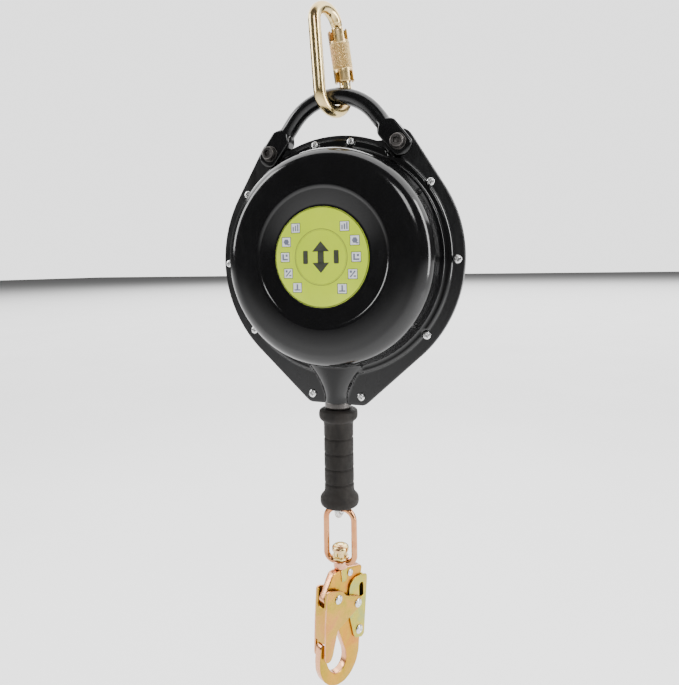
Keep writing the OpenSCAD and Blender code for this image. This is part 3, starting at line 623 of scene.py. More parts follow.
# ------------------------------------------------------------------ bail
def bail():
    a = 52.0
    top = np.array([0, 106.0])
    R = 55.0
    be = top + R * np.array([math.sin(math.radians(a)), math.cos(math.radians(a))])
    ear = np.array(EAR)
    d = ear - be
    L = np.linalg.norm(d)
    d = d / L
    path, kinds = [], []
    tail = [13.3, 13.0, 12.0, 10.5, 9.0, 7.0, 4.0, 0.0, -5.0, -10.0, -14.0, -16.0, -18.0, -19.5, -21.0, -22.5, -24.0, -25.5, -27.0]

    def put(p, v):
        path.append((p[0], 0, p[1]))
        kinds.append(v)
    left = lambda p: np.array([-p[0], p[1]])
    for v in tail:
        put(left(ear + d * v), v)
    put(left(be + d * (L - 27) * 0.5), None)
    for i in range(0, 49):
        ang = 90 + a - 2 * a * i / 48
        put(top + R * np.array([math.cos(math.radians(ang)), math.sin(math.radians(ang))]), None)
    put(be + d * (L - 27) * 0.5, None)
    for v in reversed(tail):
        put(ear + d * v, v)
    n = 64

    def section(k, s):
        v = kinds[k]
        if v is None or v <= -27:
            ww, dd, e = 8.25, 8.25, 2.0
        else:
            t = min(1.0, max(0.0, (v + 27) / 9.0))
            t = t * t * (3 - 2 * t)
            ww = 8.25 + (11 - 8.25) * t
            e = 2 + 7 * t
            dd = 8.25
            if v > 0:
                ww = min(ww, math.sqrt(max(13.5 ** 2 - v * v, 0.5)))
            if v > 11:
                dd = 8.25 - 0.5 * (v - 11)
        out = []
        for j in range(n):
            q = 2 * math.pi * j / n
            cx, sx = math.cos(q), math.sin(q)
            out.append((dd * math.copysign(abs(cx) ** (2 / e), cx), ww * math.copysign(abs(sx) ** (2 / e), sx)))
        return out
    V, F = sweep(path, section)
    cuts = []
    tilt = math.atan2(d[0], d[1])
    for s in (1, -1):
        box = [(x, y, z) for x in (-15, 15) for y in (-3.75, 3.75) for z in (-15.6, 24.4)]
        Mx = Matrix.Translation((s * ear[0], 0, ear[1])) @ Matrix.Rotation(s * tilt, 4, "Y")
        bf = [[0, 1, 3, 2], [4, 6, 7, 5], [0, 4, 5, 1], [2, 3, 7, 6], [0, 2, 6, 4], [1, 5, 7, 3]]
        cuts.append(move((box, bf), Mx))
    return make("bail_forging", V, F, M_H, "black_bail", "housing", "black_enamel", ["bail_handle"], angle=40, cut=cuts)


bail()


def hexr(r, amount=1.0):
    def f(a):
        q = (math.degrees(a) % 60) - 30
        h = r * math.cos(math.radians(30)) / math.cos(math.radians(q))
        return r + (h - r) * amount
    return f


def bail_bolt_heads():
    parts = []
    for s in (-1, 1):
        rings = [(3.9, -18.0), (3.95, 9.5), (6.2, 9.66), (6.55, 10.1), (6.6, 11.0), (6.6, 14.2), (6.45, 14.75), (6.1, 15.1), (5.4, 15.42), (4.2, 15.45), (hexr(3.6), 15.3), (hexr(3.4), 14.9), (hexr(3.4), 11.6), (1.2, 11.4), (0, 11.1)]
        rings = [(0, -18.0)] + rings
        p = lathe(rings, 60)
        parts.append(move(p, Matrix.Translation((s * EAR[0], 0, EAR[1])) @ Matrix.Rotation(math.pi / 2, 4, "X") @ Matrix.Rotation(0.35 * s, 4, "Z")))
    return merge(parts)


make("bail_socket_bolts", *bail_bolt_heads(), M_H, "oxide", "housing", "black_oxide", ["bail_bolts"], angle=30)


def washers():
    parts = []
    for s in (-1, 1):
        for z0 in (8.27, -9.65):
            rings = [(4.2, z0), (7.7, z0), (8.0, z0 + 0.25), (8.0, z0 + 1.15), (7.7, z0 + 1.38), (4.2, z0 + 1.38)]
            parts.append(move(lathe(rings, 64, closed=True), Matrix.Translation((s * EAR[0], 0, EAR[1])) @ Matrix.Rotation(math.pi / 2, 4, "X")))
    return merge(parts)


make("bail_plain_washers", *washers(), M_H, "oxide", "housing", "black_oxide", ["bail_washers"], angle=30)


def nuts():
    parts = []
    for s in (-1, 1):
        rings = [(4.0, -16.1), (6.4, -16.1), (hexr(7.5, 0.5), -15.8), (hexr(7.5), -15.1), (hexr(7.5), -10.7), (hexr(7.5, 0.5), -10.0), (6.4, -9.7), (4.0, -9.7)]
        parts.append(move(lathe(rings, 72, closed=True), Matrix.Translation((s * EAR[0], 0, EAR[1])) @ Matrix.Rotation(math.pi / 2, 4, "X")))
    return merge(parts)


make("bail_hex_nuts", *nuts(), M_H, "oxide", "housing", "black_oxide", ["bail_nuts"], angle=30)

# ------------------------------------------------------------------ cover screws


def pan_head(turn):
    """pan head with a cross recess, drawn with its face towards +Z"""
    n, rr = 64, [0, 0.25, 0.45, 0.6, 0.8, 1.0, 1.3, 1.6, 1.9, 2.15, 2.4, 2.8, 3.1, 3.4, 3.6, 3.72, 3.75]

    def z(x, y):
        r = math.hypot(x, y)
        base = 2.55 * math.sqrt(max(0, 1 - (r / 4.35) ** 3.2))
        c, s = math.cos(turn), math.sin(turn)
        u, v = abs(x * c + y * s), abs(-x * s + y * c)
        a, b = min(u, v), max(u, v)
        arm = max(0.0, min(1.0, (0.62 - a) / 0.22)) * max(0.0, min(1.0, (2.3 - b) / 0.35))
        core = max(0.0, min(1.0, (1.15 - r) / 0.4))
        return base - 1.5 * max(arm * (1 - 0.25 * b / 2.3), core)
    V, F = [(0, 0, z(0, 0))], []
    for r in rr[1:]:
        for k in range(n):
            a = 2 * math.pi * k / n
            x, y = r * math.cos(a), r * math.sin(a)
            V.append((x, y, z(x, y)))
    base = len(V)
    for k in range(n):
        a = 2 * math.pi * k / n
        V.append((3.75 * math.cos(a), 3.75 * math.sin(a), 0.02))
    V.append((0, 0, 0.02))
    for k in range(n):
        F.append([0, 1 + k, 1 + (k + 1) % n])
    rows = len(rr) - 1
    for j in range(rows):
        a0 = 1 + j * n
        b0 = 1 + (j + 1) * n if j < rows - 1 else base
        for k in range(n):
            F.append([a0 + k, b0 + k, b0 + (k + 1) % n, a0 + (k + 1) % n])
    for k in range(n):
        F.append([base + (k + 1) % n, base + k, len(V) - 1])
    return V, F


def cover_screw_heads():
    parts = []
    for s in (-1, 1):
        for i, p in enumerate(SCREWS):
            parts.append(move(pan_head(0.5 + 1.7 * i + s), Matrix.Translation((s * p[0], -F2, p[1])) @ Matrix.Rotation(math.pi / 2, 4, "X")))
            shank = lathe([(0, -11.8), (1.7, -11.8), (1.95, -11.4), (1.95, 0.1), (0, 0.1)], 24)
            parts.append(move(shank, Matrix.Translation((s * p[0], -F2, p[1])) @ Matrix.Rotation(math.pi / 2, 4, "X")))
    return merge(parts)


make("cover_pan_screws", *cover_screw_heads(), M_H, "bright", "housing", "bright_steel", ["cover_screws"], angle=40)


def cover_hex_nuts():
    parts = []
    for s in (-1, 1):
        for p in SCREWS:
            rings = [(1.97, 0.02), (3.5, 0.02), (hexr(4.04, 0.5), 0.25), (hexr(4.04), 0.6), (hexr(4.04), 2.6), (hexr(4.04, 0.5), 2.95), (3.5, 3.18), (1.97, 3.18)]
            parts.append(move(lathe(rings, 48, closed=True), Matrix.Translation((s * p[0], F2, p[1])) @ Matrix.Rotation(-math.pi / 2, 4, "X")))
    return merge(parts)


make("cover_lock_nuts", *cover_hex_nuts(), M_H, "bright", "housing", "bright_steel", ["cover_nuts"], angle=30)


# ------------------------------------------------------------------ label
def face_disc(r0, r1, y, n=160):
    """flat ring facing -Y with a 0.04 mm rim"""
    V, F = [], []
    for r, yy in ((r0, y + 0.05), (r0, y), (r1, y), (r1, y + 0.05)):
        for k in range(n):
            a = 2 * math.pi * k / n
            V.append((r * math.cos(a), yy, r * math.sin(a)))
    for j in range(3):
        for k in range(n):
            F.append([j * n + k, (j + 1) * n + k, (j + 1) * n + (k + 1) % n, j * n + (k + 1) % n])
    for k in range(n):
        F.append([k, (k + 1) % n, 3 * n + (k + 1) % n, 3 * n + k])
    return V, F


LAB = -38.8


def label():
    prof = [(0, -38.02), (47.3, -38.02), (47.5, -38.2), (47.5, -38.6), (47.35, -38.74), (47.0, -38.8), (30, -38.8), (0, -38.8)]
    V, F = lathe([(r, z) for r, z in prof], 160)
    # turned so that z runs along -Y
    V = [(x, z, y) for x, y, z in V]
    return V, F


make("label_disc", *label(), M_H, "label", "housing", "label_film", ["front_label"], angle=30)
make("label_outline", *merge([face_disc(46.5, 47.2, LAB - 0.04)]), M_H, "ink_dark", "housing", "label_film")
make("label_ring", *merge([face_disc(26.1, 26.75, LAB - 0.04), face_disc(25.2, 25.4, LAB - 0.04)]), M_H, "ink_olive", "housing", "label_film")


def tile(cx, cz, w, h, y0, y1, r=0.6):
    o = round_corners([(cx - w / 2, cz - h / 2), (cx + w / 2, cz - h / 2), (cx + w / 2, cz + h / 2), (cx - w / 2, cz + h / 2)], r, 3)
    return slab(o, y0, y1)


TILES = [(-25.5, 28), (-35.5, 15), (-37, 0.5), (-33.8, -15), (-24.5, -28.5), (24.2, 28), (34, 14.8), (35.2, -0.5), (31.5, -16), (21, -29.5)]
frames_, fills, marks = [], [], []
for i, (cx, cz) in enumerate(TILES):
    frames_.append(tile(cx, cz, 9.6, 9.6, LAB - 0.05, LAB, 0.4))
    fills.append(tile(cx, cz, 8.5, 8.5, LAB - 0.08, LAB - 0.04, 0.3))
    y0, y1 = LAB - 0.11, LAB - 0.07
    k = i % 5
    if k == 0:
        for j in range(3):
            marks.append(tile(cx - 2.4 + 2.4 * j, cz - 0.9 + 0.6 * j, 1.3, 4.2 + 1.1 * j, y0, y1, 0.2))
    elif k == 1:
        marks.append(slab([(cx + 2.9 * math.cos(a), cz + 2.9 * math.sin(a)) for a in np.linspace(0, 2 * math.pi, 7)[:-1]], y0, y1))
        marks.append(tile(cx + 2.4, cz - 2.6, 2.4, 1.2, y0, y1, 0.2))
    elif k == 2:
        marks.append(slab([(cx - 3, cz - 3), (cx + 3, cz - 3), (cx + 3, cz - 1.4), (cx - 1.2, cz - 1.4), (cx - 1.2, cz + 3), (cx - 3, cz + 3)], y0, y1))
        marks.append(tile(cx + 1.6, cz + 1.6, 2.2, 2.2, y0, y1, 0.3))
    elif k == 3:
        marks.append(slab([(cx - 3, cz - 2.6), (cx - 1.8, cz - 3.2), (cx + 3, cz + 2.4), (cx + 2, cz + 3.2)], y0, y1))
        marks.append(tile(cx - 1.8, cz + 2, 2.2, 2.2, y0, y1, 0.6))
        marks.append(tile(cx + 2, cz - 2, 2.4, 1.4, y0, y1, 0.3))
    else:
        marks.append(tile(cx, cz - 2.2, 6.4, 1.3, y0, y1, 0.3))
        marks.append(tile(cx, cz + 0.8, 1.6, 4.8, y0, y1, 0.3))
make("label_tile_frames", *merge(frames_), M_H, "ink_dark", "housing", "label_film", angle=30)
make("label_tile_fills", *merge(fills), M_H, "ink_pale", "housing", "label_film", angle=30)
make("label_tile_marks", *merge(marks), M_H, "ink_blue", "housing", "label_film", angle=30)
# plain double arrow for the line's travel, in place of lettering
arrow = []
y0, y1 = LAB - 0.06, LAB
for s in (1, -1):
    arrow.append(slab([(-8.6, s * 5.2), (8.6, s * 5.2), (0, s * 15.0)], y0, y1))
arrow.append(tile(0, 0, 6.4, 11.2, y0, y1, 0.5))
for s in (1, -1):
    arrow.append(tile(s * 15.6, 0, 5.0, 12.6, y0, y1, 1.0))
make("label_travel_mark", *merge(arrow), M_H, "ink_dark", "housing", "label_film", angle=30)


# ------------------------------------------------------------------ neck and grip
def smooth_profile(pts, times=2):
    """open profile with its corners cut, ends kept"""
    pts = [np.array(p, float) for p in pts]
    for _ in range(times):
        out = [pts[0]]
        for a, b in zip(pts, pts[1:]):
            out += [a * 0.75 + b * 0.25, a * 0.25 + b * 0.75]
        out.append(pts[-1])
        pts = out
    return [(float(p[0]), float(p[1])) for p in pts]


make("neck_end_collar", *lathe([(9.5, -143.25), (12.9, -143.25), (13.25, -143.7), (13.3, -144.4), (13.3, -147.6), (13.1, -148.9), (12.5, -149.8), (11.8, -150.0), (9.9, -150.0), (9.5, -149.6)], 96, closed=True), M_H, "oxide", "housing", "black_oxide", ["neck_collar"], angle=30)


def grip():
    gr = 14.7
    prof = [(3.2, -150.45), (14.0, -150.45), (16.6, -150.6), (18.5, -151.5), (19.35, -153.2), (19.45, -156.0), (19.3, -158.4), (18.2, -160.6), (16.0, -162.2), (14.9, -164.0), (gr, -167.0)]
    body = smooth_profile(prof, 2)
    for z in (178.9, 193.9, 208.8, 223.7):
        body += [(gr - 0.02, -z + 2.2), (gr - 0.05, -z + 1.5), (gr - 0.45, -z + 1.0), (gr - 1.15, -z + 0.75), (gr - 1.2, -z + 0.2), (gr - 1.2, -z - 0.5), (gr - 0.7, -z - 0.95), (gr - 0.12, -z - 1.3), (gr - 0.0, -z - 2.2)]
    low = smooth_profile([(gr, -229.0), (14.9, -232.4), (16.6, -235.2), (18.9, -237.4), (19.4, -240.0), (19.2, -243.8), (18.0, -245.7), (16.0, -246.0), (12.9, -246.0), (12.4, -245.4), (12.4, -238.4), (9.4, -231.0), (7.7, -226.2), (7.7, -200)], 2)
    return lathe(body + low + [(3.2, -186)], 128, closed=True)


make("grip_moulding", *grip(), M_H, "rubber", "line_end", "grip_rubber", ["hand_grip"], angle=60)


# ------------------------------------------------------------------ wire rope
def rope(path, r, pitch, n_strand=6, phase=0.0, sides=8):
    path, t, us, ws = frames(path)
    seg = np.linalg.norm(np.diff(path, axis=0), axis=1)
    s = np.concatenate([[0], np.cumsum(seg)])
    parts = []
    rs = r * 0.34
    for k in range(n_strand):
        ph = phase + 2 * math.pi * (k / n_strand + s / pitch)
        p = path + (us * np.cos(ph)[:, None] + ws * np.sin(ph)[:, None]) * (r - rs)
        parts.append(sweep(p, circle_section(rs, sides)))
    parts.append(sweep(path, circle_section(r * 0.42, sides)))
    return merge(parts)


def eye_path():
    er, ec, eb, rope_r = 8.75, np.array([0, -248.85]), 15.0, 2.4
    el = (er * math.cos(math.radians(eb)) - 2.45) / math.sin(math.radians(eb))
    et = ec[1] + er * math.sin(math.radians(eb)) + el * math.cos(math.radians(eb))
    right = on(ec, er, eb)
    pts = [(-2.45, 0, -200.2)]
    for i in range(1, 25):
        pts.append((-2.45, 0, -200.2 + (et + 200.2) * i / 24))
    pts += [(p[0], 0, p[2]) for p in line_pts((-2.45, et), (-right[0], right[1]), 14)]
    pts += arc_pts(ec, er, 180 - eb, 360 + eb, 60)
    pts += line_pts((right[0], right[1]), (2.45, et), 14)
    for i in range(0, 25):
        pts.append((2.45, 0, et + (-200.2 - et) * i / 24))
    p = np.array(pts)
    for _ in range(3):
        p[1:-1] = p[1:-1] * 0.5 + (p[:-2] + p[2:]) * 0.25
    return p


M_EYE = M_H @ Matrix.Rotation(math.pi / 2, 4, "Z")
make("rope_eye_strands", *rope(eye_path(), 2.4, 26, sides=10), M_EYE, "rope", "line_end", "galvanised_rope", ["lifeline_eye"], angle=60)
tail = [(0, 0, -128.05 - 57.9 * i / 80) for i in range(81)]
ob = make("rope_payout_strands", *rope(tail, 2.4, 30), M_H, "rope", None, "galvanised_rope", ["lifeline_tail"], angle=60)
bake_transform(ob)


# ------------------------------------------------------------------ link, nut, stem
def link():
    lw, lt, ll = 14.75, -250.65, -303.5
    pts = []
    pts += [(-4.2, 0, ll), (-5.5, 0, ll)]
    pts += arc_pts((-lw + 8, ll + 8), 8, 270, 180, 16)
    pts += line_pts((-lw, ll + 8), (-lw, lt - 11), 16)
    pts += arc_pts((-lw + 11, lt - 11), 11, 180, 90, 18)
    pts += line_pts((-lw + 11, lt), (lw - 11, lt), 6)
    pts += arc_pts((lw - 11, lt - 11), 11, 90, 0, 18)
    pts += line_pts((lw, lt - 11), (lw, ll + 8), 16)
    pts += arc_pts((lw - 8, ll + 8), 8, 0, -90, 16)
    pts += [(5.5, 0, ll), (4.2, 0, ll)]
    tube = sweep(pts, circle_section(2.97, 36))
    return tube


make("swivel_link_bar", *link(), M_H, "link", "link", "copper_zinc", ["swivel_link"], angle=50)
boss = lathe(smooth_profile([(4.3, -301.85), (6.4, -301.85), (7.1, -302.3), (7.15, -303.2), (7.15, -307.8), (7.0, -308.8), (6.3, -309.25), (4.3, -309.25)], 1), 96, closed=True)
make("swivel_link_boss", *boss, M_H, "collar", "link", "copper_zinc", angle=40)


def castle(r, depth):
    def f(a):
        q = (math.degrees(a) % 60) - 30
        g = max(0.0, min(1.0, (11 - abs(q)) / 3.0))
        return r - depth * g
    return f


nut = lathe([(4.2, -301.35), (4.75, -301.35), (4.75, -299.6), (hexr(8.3, 0.4), -299.58), (hexr(8.9, 0.8), -299.3), (hexr(9.0), -298.9), (hexr(9.0), -298.2), (hexr(8.8, 0.8), -297.8), (castle(6.9, 0.3), -297.4), (castle(6.9, 1.3), -296.9), (castle(6.9, 1.6), -294.0), (castle(6.9, 1.3), -293.2), (castle(7.2, 0.3), -292.7), (8.1, -292.3), (8.4, -291.7), (8.4, -289.3), (8.1, -288.5), (7.3, -287.7), (5.8, -286.9), (4.2, -286.5), (4.15, -286.6)], 120, closed=True)
make("swivel_nut_turned", *nut, M_H, "nut", "hook", "yellow_zinc", ["swivel_nut"], angle=35)
stem_top = lathe([(0, -309.5), (4.0, -309.5), (4.1, -309.0), (4.1, -287.6), (3.9, -287.0), (3.2, -286.45), (1.6, -286.25), (0, -286.22)], 64)
make("swivel_stem_turned", *stem_top, M_H, "nut", "hook", "yellow_zinc", ["swivel_stem"], angle=35)
# the tab's side faces take the brighter nut colour as a painted edge highlight
make("swivel_stem_tab", *slab([(-4.0, -309.45), (4.0, -309.45), (2.75, -321.7), (-2.9, -321.7)], -5.5, 5.5), M_HK, "lever", "hook", "yellow_zinc", bevel=0.5, edge_highlight="nut")

# ------------------------------------------------------------------ snap hook
HT = 4.0
HOOK = [(-11, -309.9), (-4.2, -309.9), (4.2, -309.9), (24, -314.5), (26, -317), (24.6, -323.5), (17.5, -325.2), (17.5, -350),
        (20.8, -372), (21, -386), (19.6, -400), (15.5, -410), (8, -417.4), (-1, -421), (-11, -420.4), (-21, -415.4), (-28, -408), (-32, -398), (-32.4, -388), (-30.6, -376),
        (-28.8, -373.2), (-26, -373.6), (-24.4, -377), (-24.6, -386), (-22, -396), (-18, -403.5), (-12.5, -408), (-6.5, -408.6), (-1, -406), (2.2, -400), (1.6, -392), (-7.2, -368.7),
        (-8.5, -350), (-11.5, -341), (-17, -340.6), (-25, -335), (-26.6, -331), (-14, -311)]
# the forging's side faces take the lighter copper colour: painted highlight along the edges
make("hook_forging", *slab(round_corners(HOOK, 3.2, 4), -HT, HT), M_HK, "hook", "hook", "yellow_zinc", ["hook_body"], bevel=1.15, seg=4, bevel_angle=50, edge_highlight="edge_highlight", angle=45)


def rivet(p, w0, w1, r, tag, body, replaces):
    """domed rivet head with a centre dimple on each side, and its shank"""
    parts = []
    for s in (1, -1):
        rings = [(0, 0.0), (r * 0.96, 0.0), (r, 0.25), (r, 0.7), (r * 0.9, 1.25), (r * 0.68, 1.6), (r * 0.46, 1.68), (r * 0.40, 1.5), (r * 0.32, 1.0), (0, 0.85)]
        parts.append(move(lathe(rings, 48), Matrix.Translation((p[0], s * w1, p[1])) @ Matrix.Rotation(-s * math.pi / 2, 4, "X")))
    parts.append(move(lathe([(0, -w1), (w0, -w1), (w0, w1), (0, w1)], 32), Matrix.Translation((p[0], 0, p[1])) @ Matrix.Rotation(math.pi / 2, 4, "X")))
    return make(tag, *merge(parts), M_HK, "bright", body, "bright_steel", replaces, angle=35)


PA, PB, PC, PS = (-11.2, -333.6), (14.8, -347.6), (18, -376.6), (8.6, -316.6)
rivet(PS, 2.25, 4.0, 3.4, "stem_rivet_heads", "hook", ["stem_rivet"])
rivet(PA, 2.45, 8.7, 4.2, "gate_rivet_heads", "hook_gate", ["gate_rivet"])
rivet(PC, 2.45, 6.2, 4.2, "lock_rivet_heads", "hook", ["lock_rivet"])


def studs():
    parts = []
    r = 4.2
    for s in (1, -1):
        rings = [(0, 0.0), (r * 0.96, 0.0), (r, 0.25), (r, 0.7), (r * 0.9, 1.25), (r * 0.68, 1.6), (r * 0.46, 1.68), (r * 0.40, 1.5), (r * 0.32, 1.0), (0, 0.85)]
        parts.append(move(lathe(rings, 48), Matrix.Translation((PB[0], s * 8.7, PB[1])) @ Matrix.Rotation(-s * math.pi / 2, 4, "X")))
        parts.append(move(lathe([(0, 6.55), (1.95, 6.55), (1.95, 8.8), (0, 8.8)], 32), Matrix.Translation((PB[0], 0, PB[1])) @ Matrix.Rotation(-s * math.pi / 2, 4, "X")))
    return merge(parts)


make("gate_stud_heads", *studs(), M_HK, "bright", "hook_gate", "bright_steel", ["gate_studs"], angle=35)

GATE = [(-25.4, -322.6), (-22.6, -321.6), (-8.5, -326.8), (-5.4, -328.2), (-1, -334), (16, -341.4), (19.6, -343.6), (20.4, -348.6), (17.4, -352.4), (-12.7, -363.4), (-19.6, -385), (-22.2, -388.6), (-26.6, -388.8), (-29.3, -385.8), (-27.8, -350)]
g_out = round_corners(GATE, 1.8, 4)
cheeks = merge([slab(g_out, 6.5, 8.65), slab(g_out, -8.65, -6.5)])
# the cheeks' side faces take the lighter copper colour: painted highlight along the edges
make("gate_cheeks", *cheeks, M_HK, "gate", "hook_gate", "yellow_zinc", ["hook_gate"], bevel=0.45, seg=3, bevel_angle=50, edge_highlight="edge_highlight", angle=45)
web = [(-25.5, -323), (-23.6, -323), (-25.1, -350), (-26.1, -371.2), (-28.5, -371.2), (-27.75, -350)]
web_cut = round_corners([(-4.8, -315), (4.8, -315), (4.8, -336.5), (2.5, -338.5), (-2.5, -338.5), (-4.8, -336.5)], 1.0, 3)
cutter = ([(-40, y, z) for y, z in web_cut] + [(-18, y, z) for y, z in web_cut], [list(range(len(web_cut))), list(range(2 * len(web_cut) - 1, len(web_cut) - 1, -1))] + [[i, (i + 1) % len(web_cut), len(web_cut) + (i + 1) % len(web_cut), len(web_cut) + i] for i in range(len(web_cut))])
make("gate_web", *slab(web, -8.5, 8.5), M_HK, "gate", "hook_gate", "yellow_zinc", bevel=0.9, seg=4, cut=[cutter], angle=45)
LEVER = [(5.4, -358), (5.6, -334), (6.8, -328.6), (10, -325), (14.5, -323.2), (20, -323), (30.6, -325.4), (31, -329), (25.4, -384), (22, -386.4), (12.4, -383), (10.6, -379)]
l_out = round_corners(LEVER, 1.6, 4)


def window(y0, y1):
    o = []
    for k in range(13):
        a = math.radians(180 * k / 12)
        o.append((22.4 + 2.9 * math.cos(a), -334 + 2.9 * math.sin(a)))
    o += [(19.5, -345), (25.3, -345)]
    return slab([tuple(p) for p in o], y0, y1)


# the lever cheeks' side faces take the gate colour as a painted edge highlight
make("lever_front_cheek", *slab(l_out, -6.05, -4.3), M_HK, "lever", "hook_lock", "yellow_zinc", ["lock_lever"], bevel=0.4, seg=3, bevel_angle=50, edge_highlight="gate", cut=[window(-20, -3.5)], angle=45)
make("lever_back_cheek", *slab(l_out, 4.3, 6.05), M_HK, "lever", "hook_lock", "yellow_zinc", bevel=0.4, seg=3, bevel_angle=50, edge_highlight="gate", angle=45)
make("lever_web", *slab([(28.5, -326.6), (30.5, -326.9), (30.85, -329), (25.4, -383.7), (23.3, -384.6), (28.3, -329)], -5.9, 5.9), M_HK, "lever", "hook_lock", "yellow_zinc", bevel=0.7, seg=4, angle=45)


# ------------------------------------------------------------------ carabiner
def carabiner():
    pts = []
    pts += arc_pts(TOP, TOP_R, CB_R, CB_L, 44)
    a, b = on(TOP, TOP_R, CB_L), on(LOW, LOW_R, CB_L)
    pts += line_pts(a, b, 30)
    pts += arc_pts(LOW, LOW_R, CB_L, 360 + CB_R, 48)
    n = len(pts)

    def section(k, s):
        e = min(k, n - 1 - k)
        r = BAR - 0.02
        if k < 4:
            r = [5.0, 5.7, 6.1, 6.22][k]
        if n - 1 - k < 3:
            r = [5.2, 5.9, 6.2][n - 1 - k]
        # the forged bar is a little flatter along the spine
        flat = 0.985
        return [(r * math.cos(2 * math.pi * j / 40), r * flat * math.sin(2 * math.pi * j / 40)) for j in range(40)]
    return sweep(pts, section)


make("carabiner_bar", *carabiner(), M_CB, "carabiner", "carabiner", "plated_carabiner", ["carabiner_body"], angle=50)
lug = round_corners([(-5, -1.5), (5, -1.5), (5, 7.4), (3, 11.2), (-3, 11.2), (-5, 7.4)], 2.0, 4)
make("carabiner_lug", *slab(lug, -2.45, 2.45), M_GATE, "carabiner", "carabiner", "plated_carabiner", bevel=0.4, seg=3)
nose = merge([slab([(-4.5, GLEN - 12), (4.5, GLEN - 12), (4.6, GLEN + 1), (-4.6, GLEN + 1)], -1.78, 1.78), lathe([(0, GLEN - 2.2), (4.4, GLEN - 2.2), (4.8, GLEN - 1.8), (5.6, GLEN - 0.6), (6.1, GLEN + 0.2), (0, GLEN + 0.2)], 48)])
make("carabiner_nose", *nose, M_GATE, "carabiner", "carabiner", "plated_carabiner", bevel=0.25, seg=2, bevel_angle=50)


def sleeve():
    r0, z0, z1 = 10.2, 9.05, GLEN - 4.85
    n, rows = 192, 92
    V, F = [], []
    k0, k1 = 21.5, GLEN - 17.5
    zs = [z0, z0 + 0.35, z0 + 1.0]
    zs += list(np.linspace(z0 + 2, k0, 8))
    zs += list(np.linspace(k0 + 0.4, k1 - 0.4, 64))
    zs += list(np.linspace(k1, z1 - 2, 8))
    zs += [z1 - 1.0, z1 - 0.35, z1]
    rows = []
    for i, z in enumerate(zs):
        row = []
        for k in range(n):
            a = 2 * math.pi * k / n
            r = r0
            if i in (0, len(zs) - 1):
                r = r0 - 0.8
            elif i in (1, len(zs) - 2):
                r = r0 - 0.3
            elif k0 < z < k1:
                fade = min(1, (z - k0) / 1.2, (k1 - z) / 1.2)
                u = a * 36 / (2 * math.pi)
                v = z / (2 * math.pi * r0 / 36) 
                p, q = (u + v) % 1, (u - v) % 1
                g = min(abs(p - 0.5) * 2, abs(q - 0.5) * 2)
                r = r0 - 0.7 * fade * (1 - min(1, g * 1.6))
            row.append(len(V))
            V.append((r * math.cos(a), r * math.sin(a), z))
        rows.append(row)
    for rr, z in ((8.45, z1), (8.45, z1 - 1), (6.08, z1 - 1.05), (6.08, z0 + 1.05), (8.45, z0 + 1.0), (8.45, z0)):
        row = []
        for k in range(n):
            a = 2 * math.pi * k / n
            row.append(len(V))
            V.append((rr * math.cos(a), rr * math.sin(a), z))
        rows.append(row)
    for a, b in list(zip(rows, rows[1:])) + [(rows[-1], rows[0])]:
        for k in range(n):
            F.append([a[k], a[(k + 1) % n], b[(k + 1) % n], b[k]])
    cuts = []
    bf = [[0, 1, 3, 2], [4, 6, 7, 5], [0, 4, 5, 1], [2, 3, 7, 6], [0, 2, 6, 4], [1, 5, 7, 3]]
    for ang in (0, 90):
        for za, zb in ((GLEN - 15.5, GLEN + 5), (0, 19.0)):
            box = [(x, y, z) for x in (-15, 15) for y in (-2.6, 2.6) for z in (za, zb)]
            cuts.append(move((box, bf), Matrix.Rotation(math.radians(ang), 4, "Z")))
    return V, F, cuts


sv, sf, sc = sleeve()
make("sleeve_knurled", sv, sf, M_GATE, "knurl", "gate_sleeve", "plated_carabiner", ["twist_sleeve"], angle=28, cut=sc)

# ------------------------------------------------------------------ CAD nodes that stay
keep = {
    "gate_bar": "carabiner", "gate_pivot_pin": "bright", "sleeve_spring": "spring", "cover_gasket": "gasket", "neck_bush": "nylon", "main_shaft": "machined",
    "shaft_end_screws": "bright", "drum_core": "aluminium", "drum_front_flange": "aluminium", "drum_rear_flange": "aluminium", "drum_bushings": "bronze", "drum_screws": "bright",
    "lifeline_coil": "rope", "lifeline_anchor": "rope", "spring_arbor": "machined", "power_spring": "spring", "spring_case": "machined", "spring_case_cover": "machined",
    "brake_hub": "machined", "ratchet_ring": "machined", "friction_washers": "lining", "pressure_plate": "machined", "brake_disc_spring": "spring", "brake_nut": "machined",
    "pawl_a": "machined", "pawl_b": "machined", "pawl_pins": "bright", "pawl_springs": "spring", "lifeline_run": "rope", "stop_sleeve": "bright", "line_ferrule": "bright",
    "eye_thimble": "bright", "gate_spring": "bright", "lock_spring": "bright",
}
for node, key in keep.items():
    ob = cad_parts[node]
    if not ob.data.materials:
        ob.data.materials.append(mats[key])
    for i in range(len(ob.material_slots)):
        ob.material_slots[i].material = mats[key]

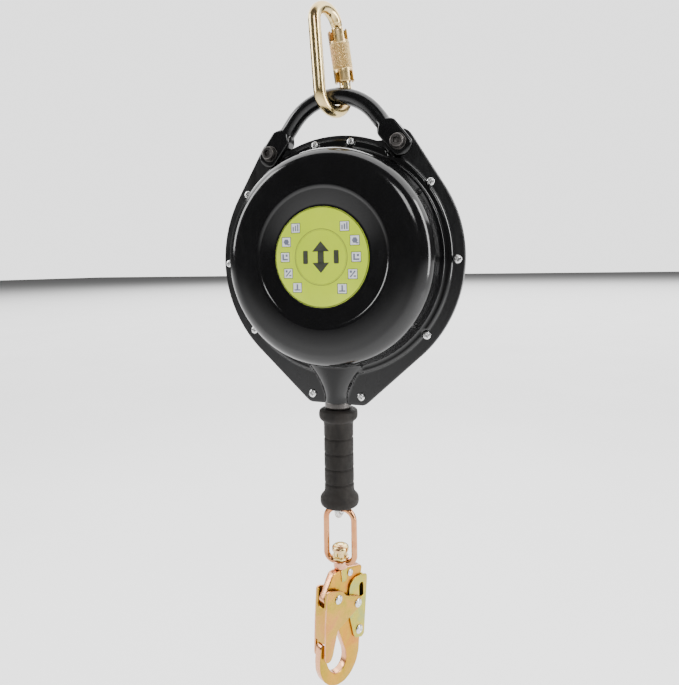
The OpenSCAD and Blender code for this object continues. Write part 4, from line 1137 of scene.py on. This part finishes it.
# ------------------------------------------------------------------ floor, light
bpy.ops.mesh.primitive_plane_add(size=90, location=(0, 0, -0.95))
floor = bpy.context.object
floor.name = "floor"
fm, fnt, fb = new_mat("floor_paint")
fnt.links.new(ramp(fnt, noise_node(fnt, coords(fnt), 2.0, 3, 0.5), [(0.3, (0.86, 0.86, 0.86)), (0.7, (0.89, 0.89, 0.89))]), fb.inputs["Base Color"])
fb.inputs["Roughness"].default_value = 0.9
floor.data.materials.append(fm)

world = bpy.data.worlds.new("studio")
scene.world = world
world.use_nodes = True
wn = world.node_tree
bg = wn.nodes["Background"]
bg.inputs["Color"].default_value = (1, 1, 1, 1)
bg.inputs["Strength"].default_value = 0.13
seen = wn.nodes.new("ShaderNodeBackground")
seen.inputs["Color"].default_value = (1, 1, 1, 1)
seen.inputs["Strength"].default_value = 2.2
lp = wn.nodes.new("ShaderNodeLightPath")
mixs = wn.nodes.new("ShaderNodeMixShader")
wn.links.new(lp.outputs["Is Camera Ray"], mixs.inputs["Fac"])
wn.links.new(bg.outputs["Background"], mixs.inputs[1])
wn.links.new(seen.outputs["Background"], mixs.inputs[2])
wn.links.new(mixs.outputs["Shader"], wn.nodes["World Output"].inputs["Surface"])


def area(name, loc, target, size, power, shape="RECTANGLE"):
    d = bpy.data.lights.new(name, "AREA")
    d.shape = shape
    d.size, d.size_y = size
    d.energy = power
    o = bpy.data.objects.new(name, d)
    scene.collection.objects.link(o)
    o.location = loc
    o.rotation_euler = (Vector(target) - Vector(loc)).to_track_quat("-Z", "Y").to_euler()
    return o


C = (0, 0, -0.3)
area("softbox_left", (-1.5, -0.7, 0.45), C, (0.5, 1.2), 22)
area("softbox_right", (1.45, -0.10, 0.1), C, (0.30, 1.5), 24)
area("softbox_front", (0.55, -1.6, 0.55), C, (0.5, 0.5), 9)
area("softbox_back", (-0.4, 1.5, 0.5), C, (1.2, 1.2), 12)
area("ceiling", (0, 9.0, 6.0), (0, 9.2, -0.95), (26, 22), 6500)

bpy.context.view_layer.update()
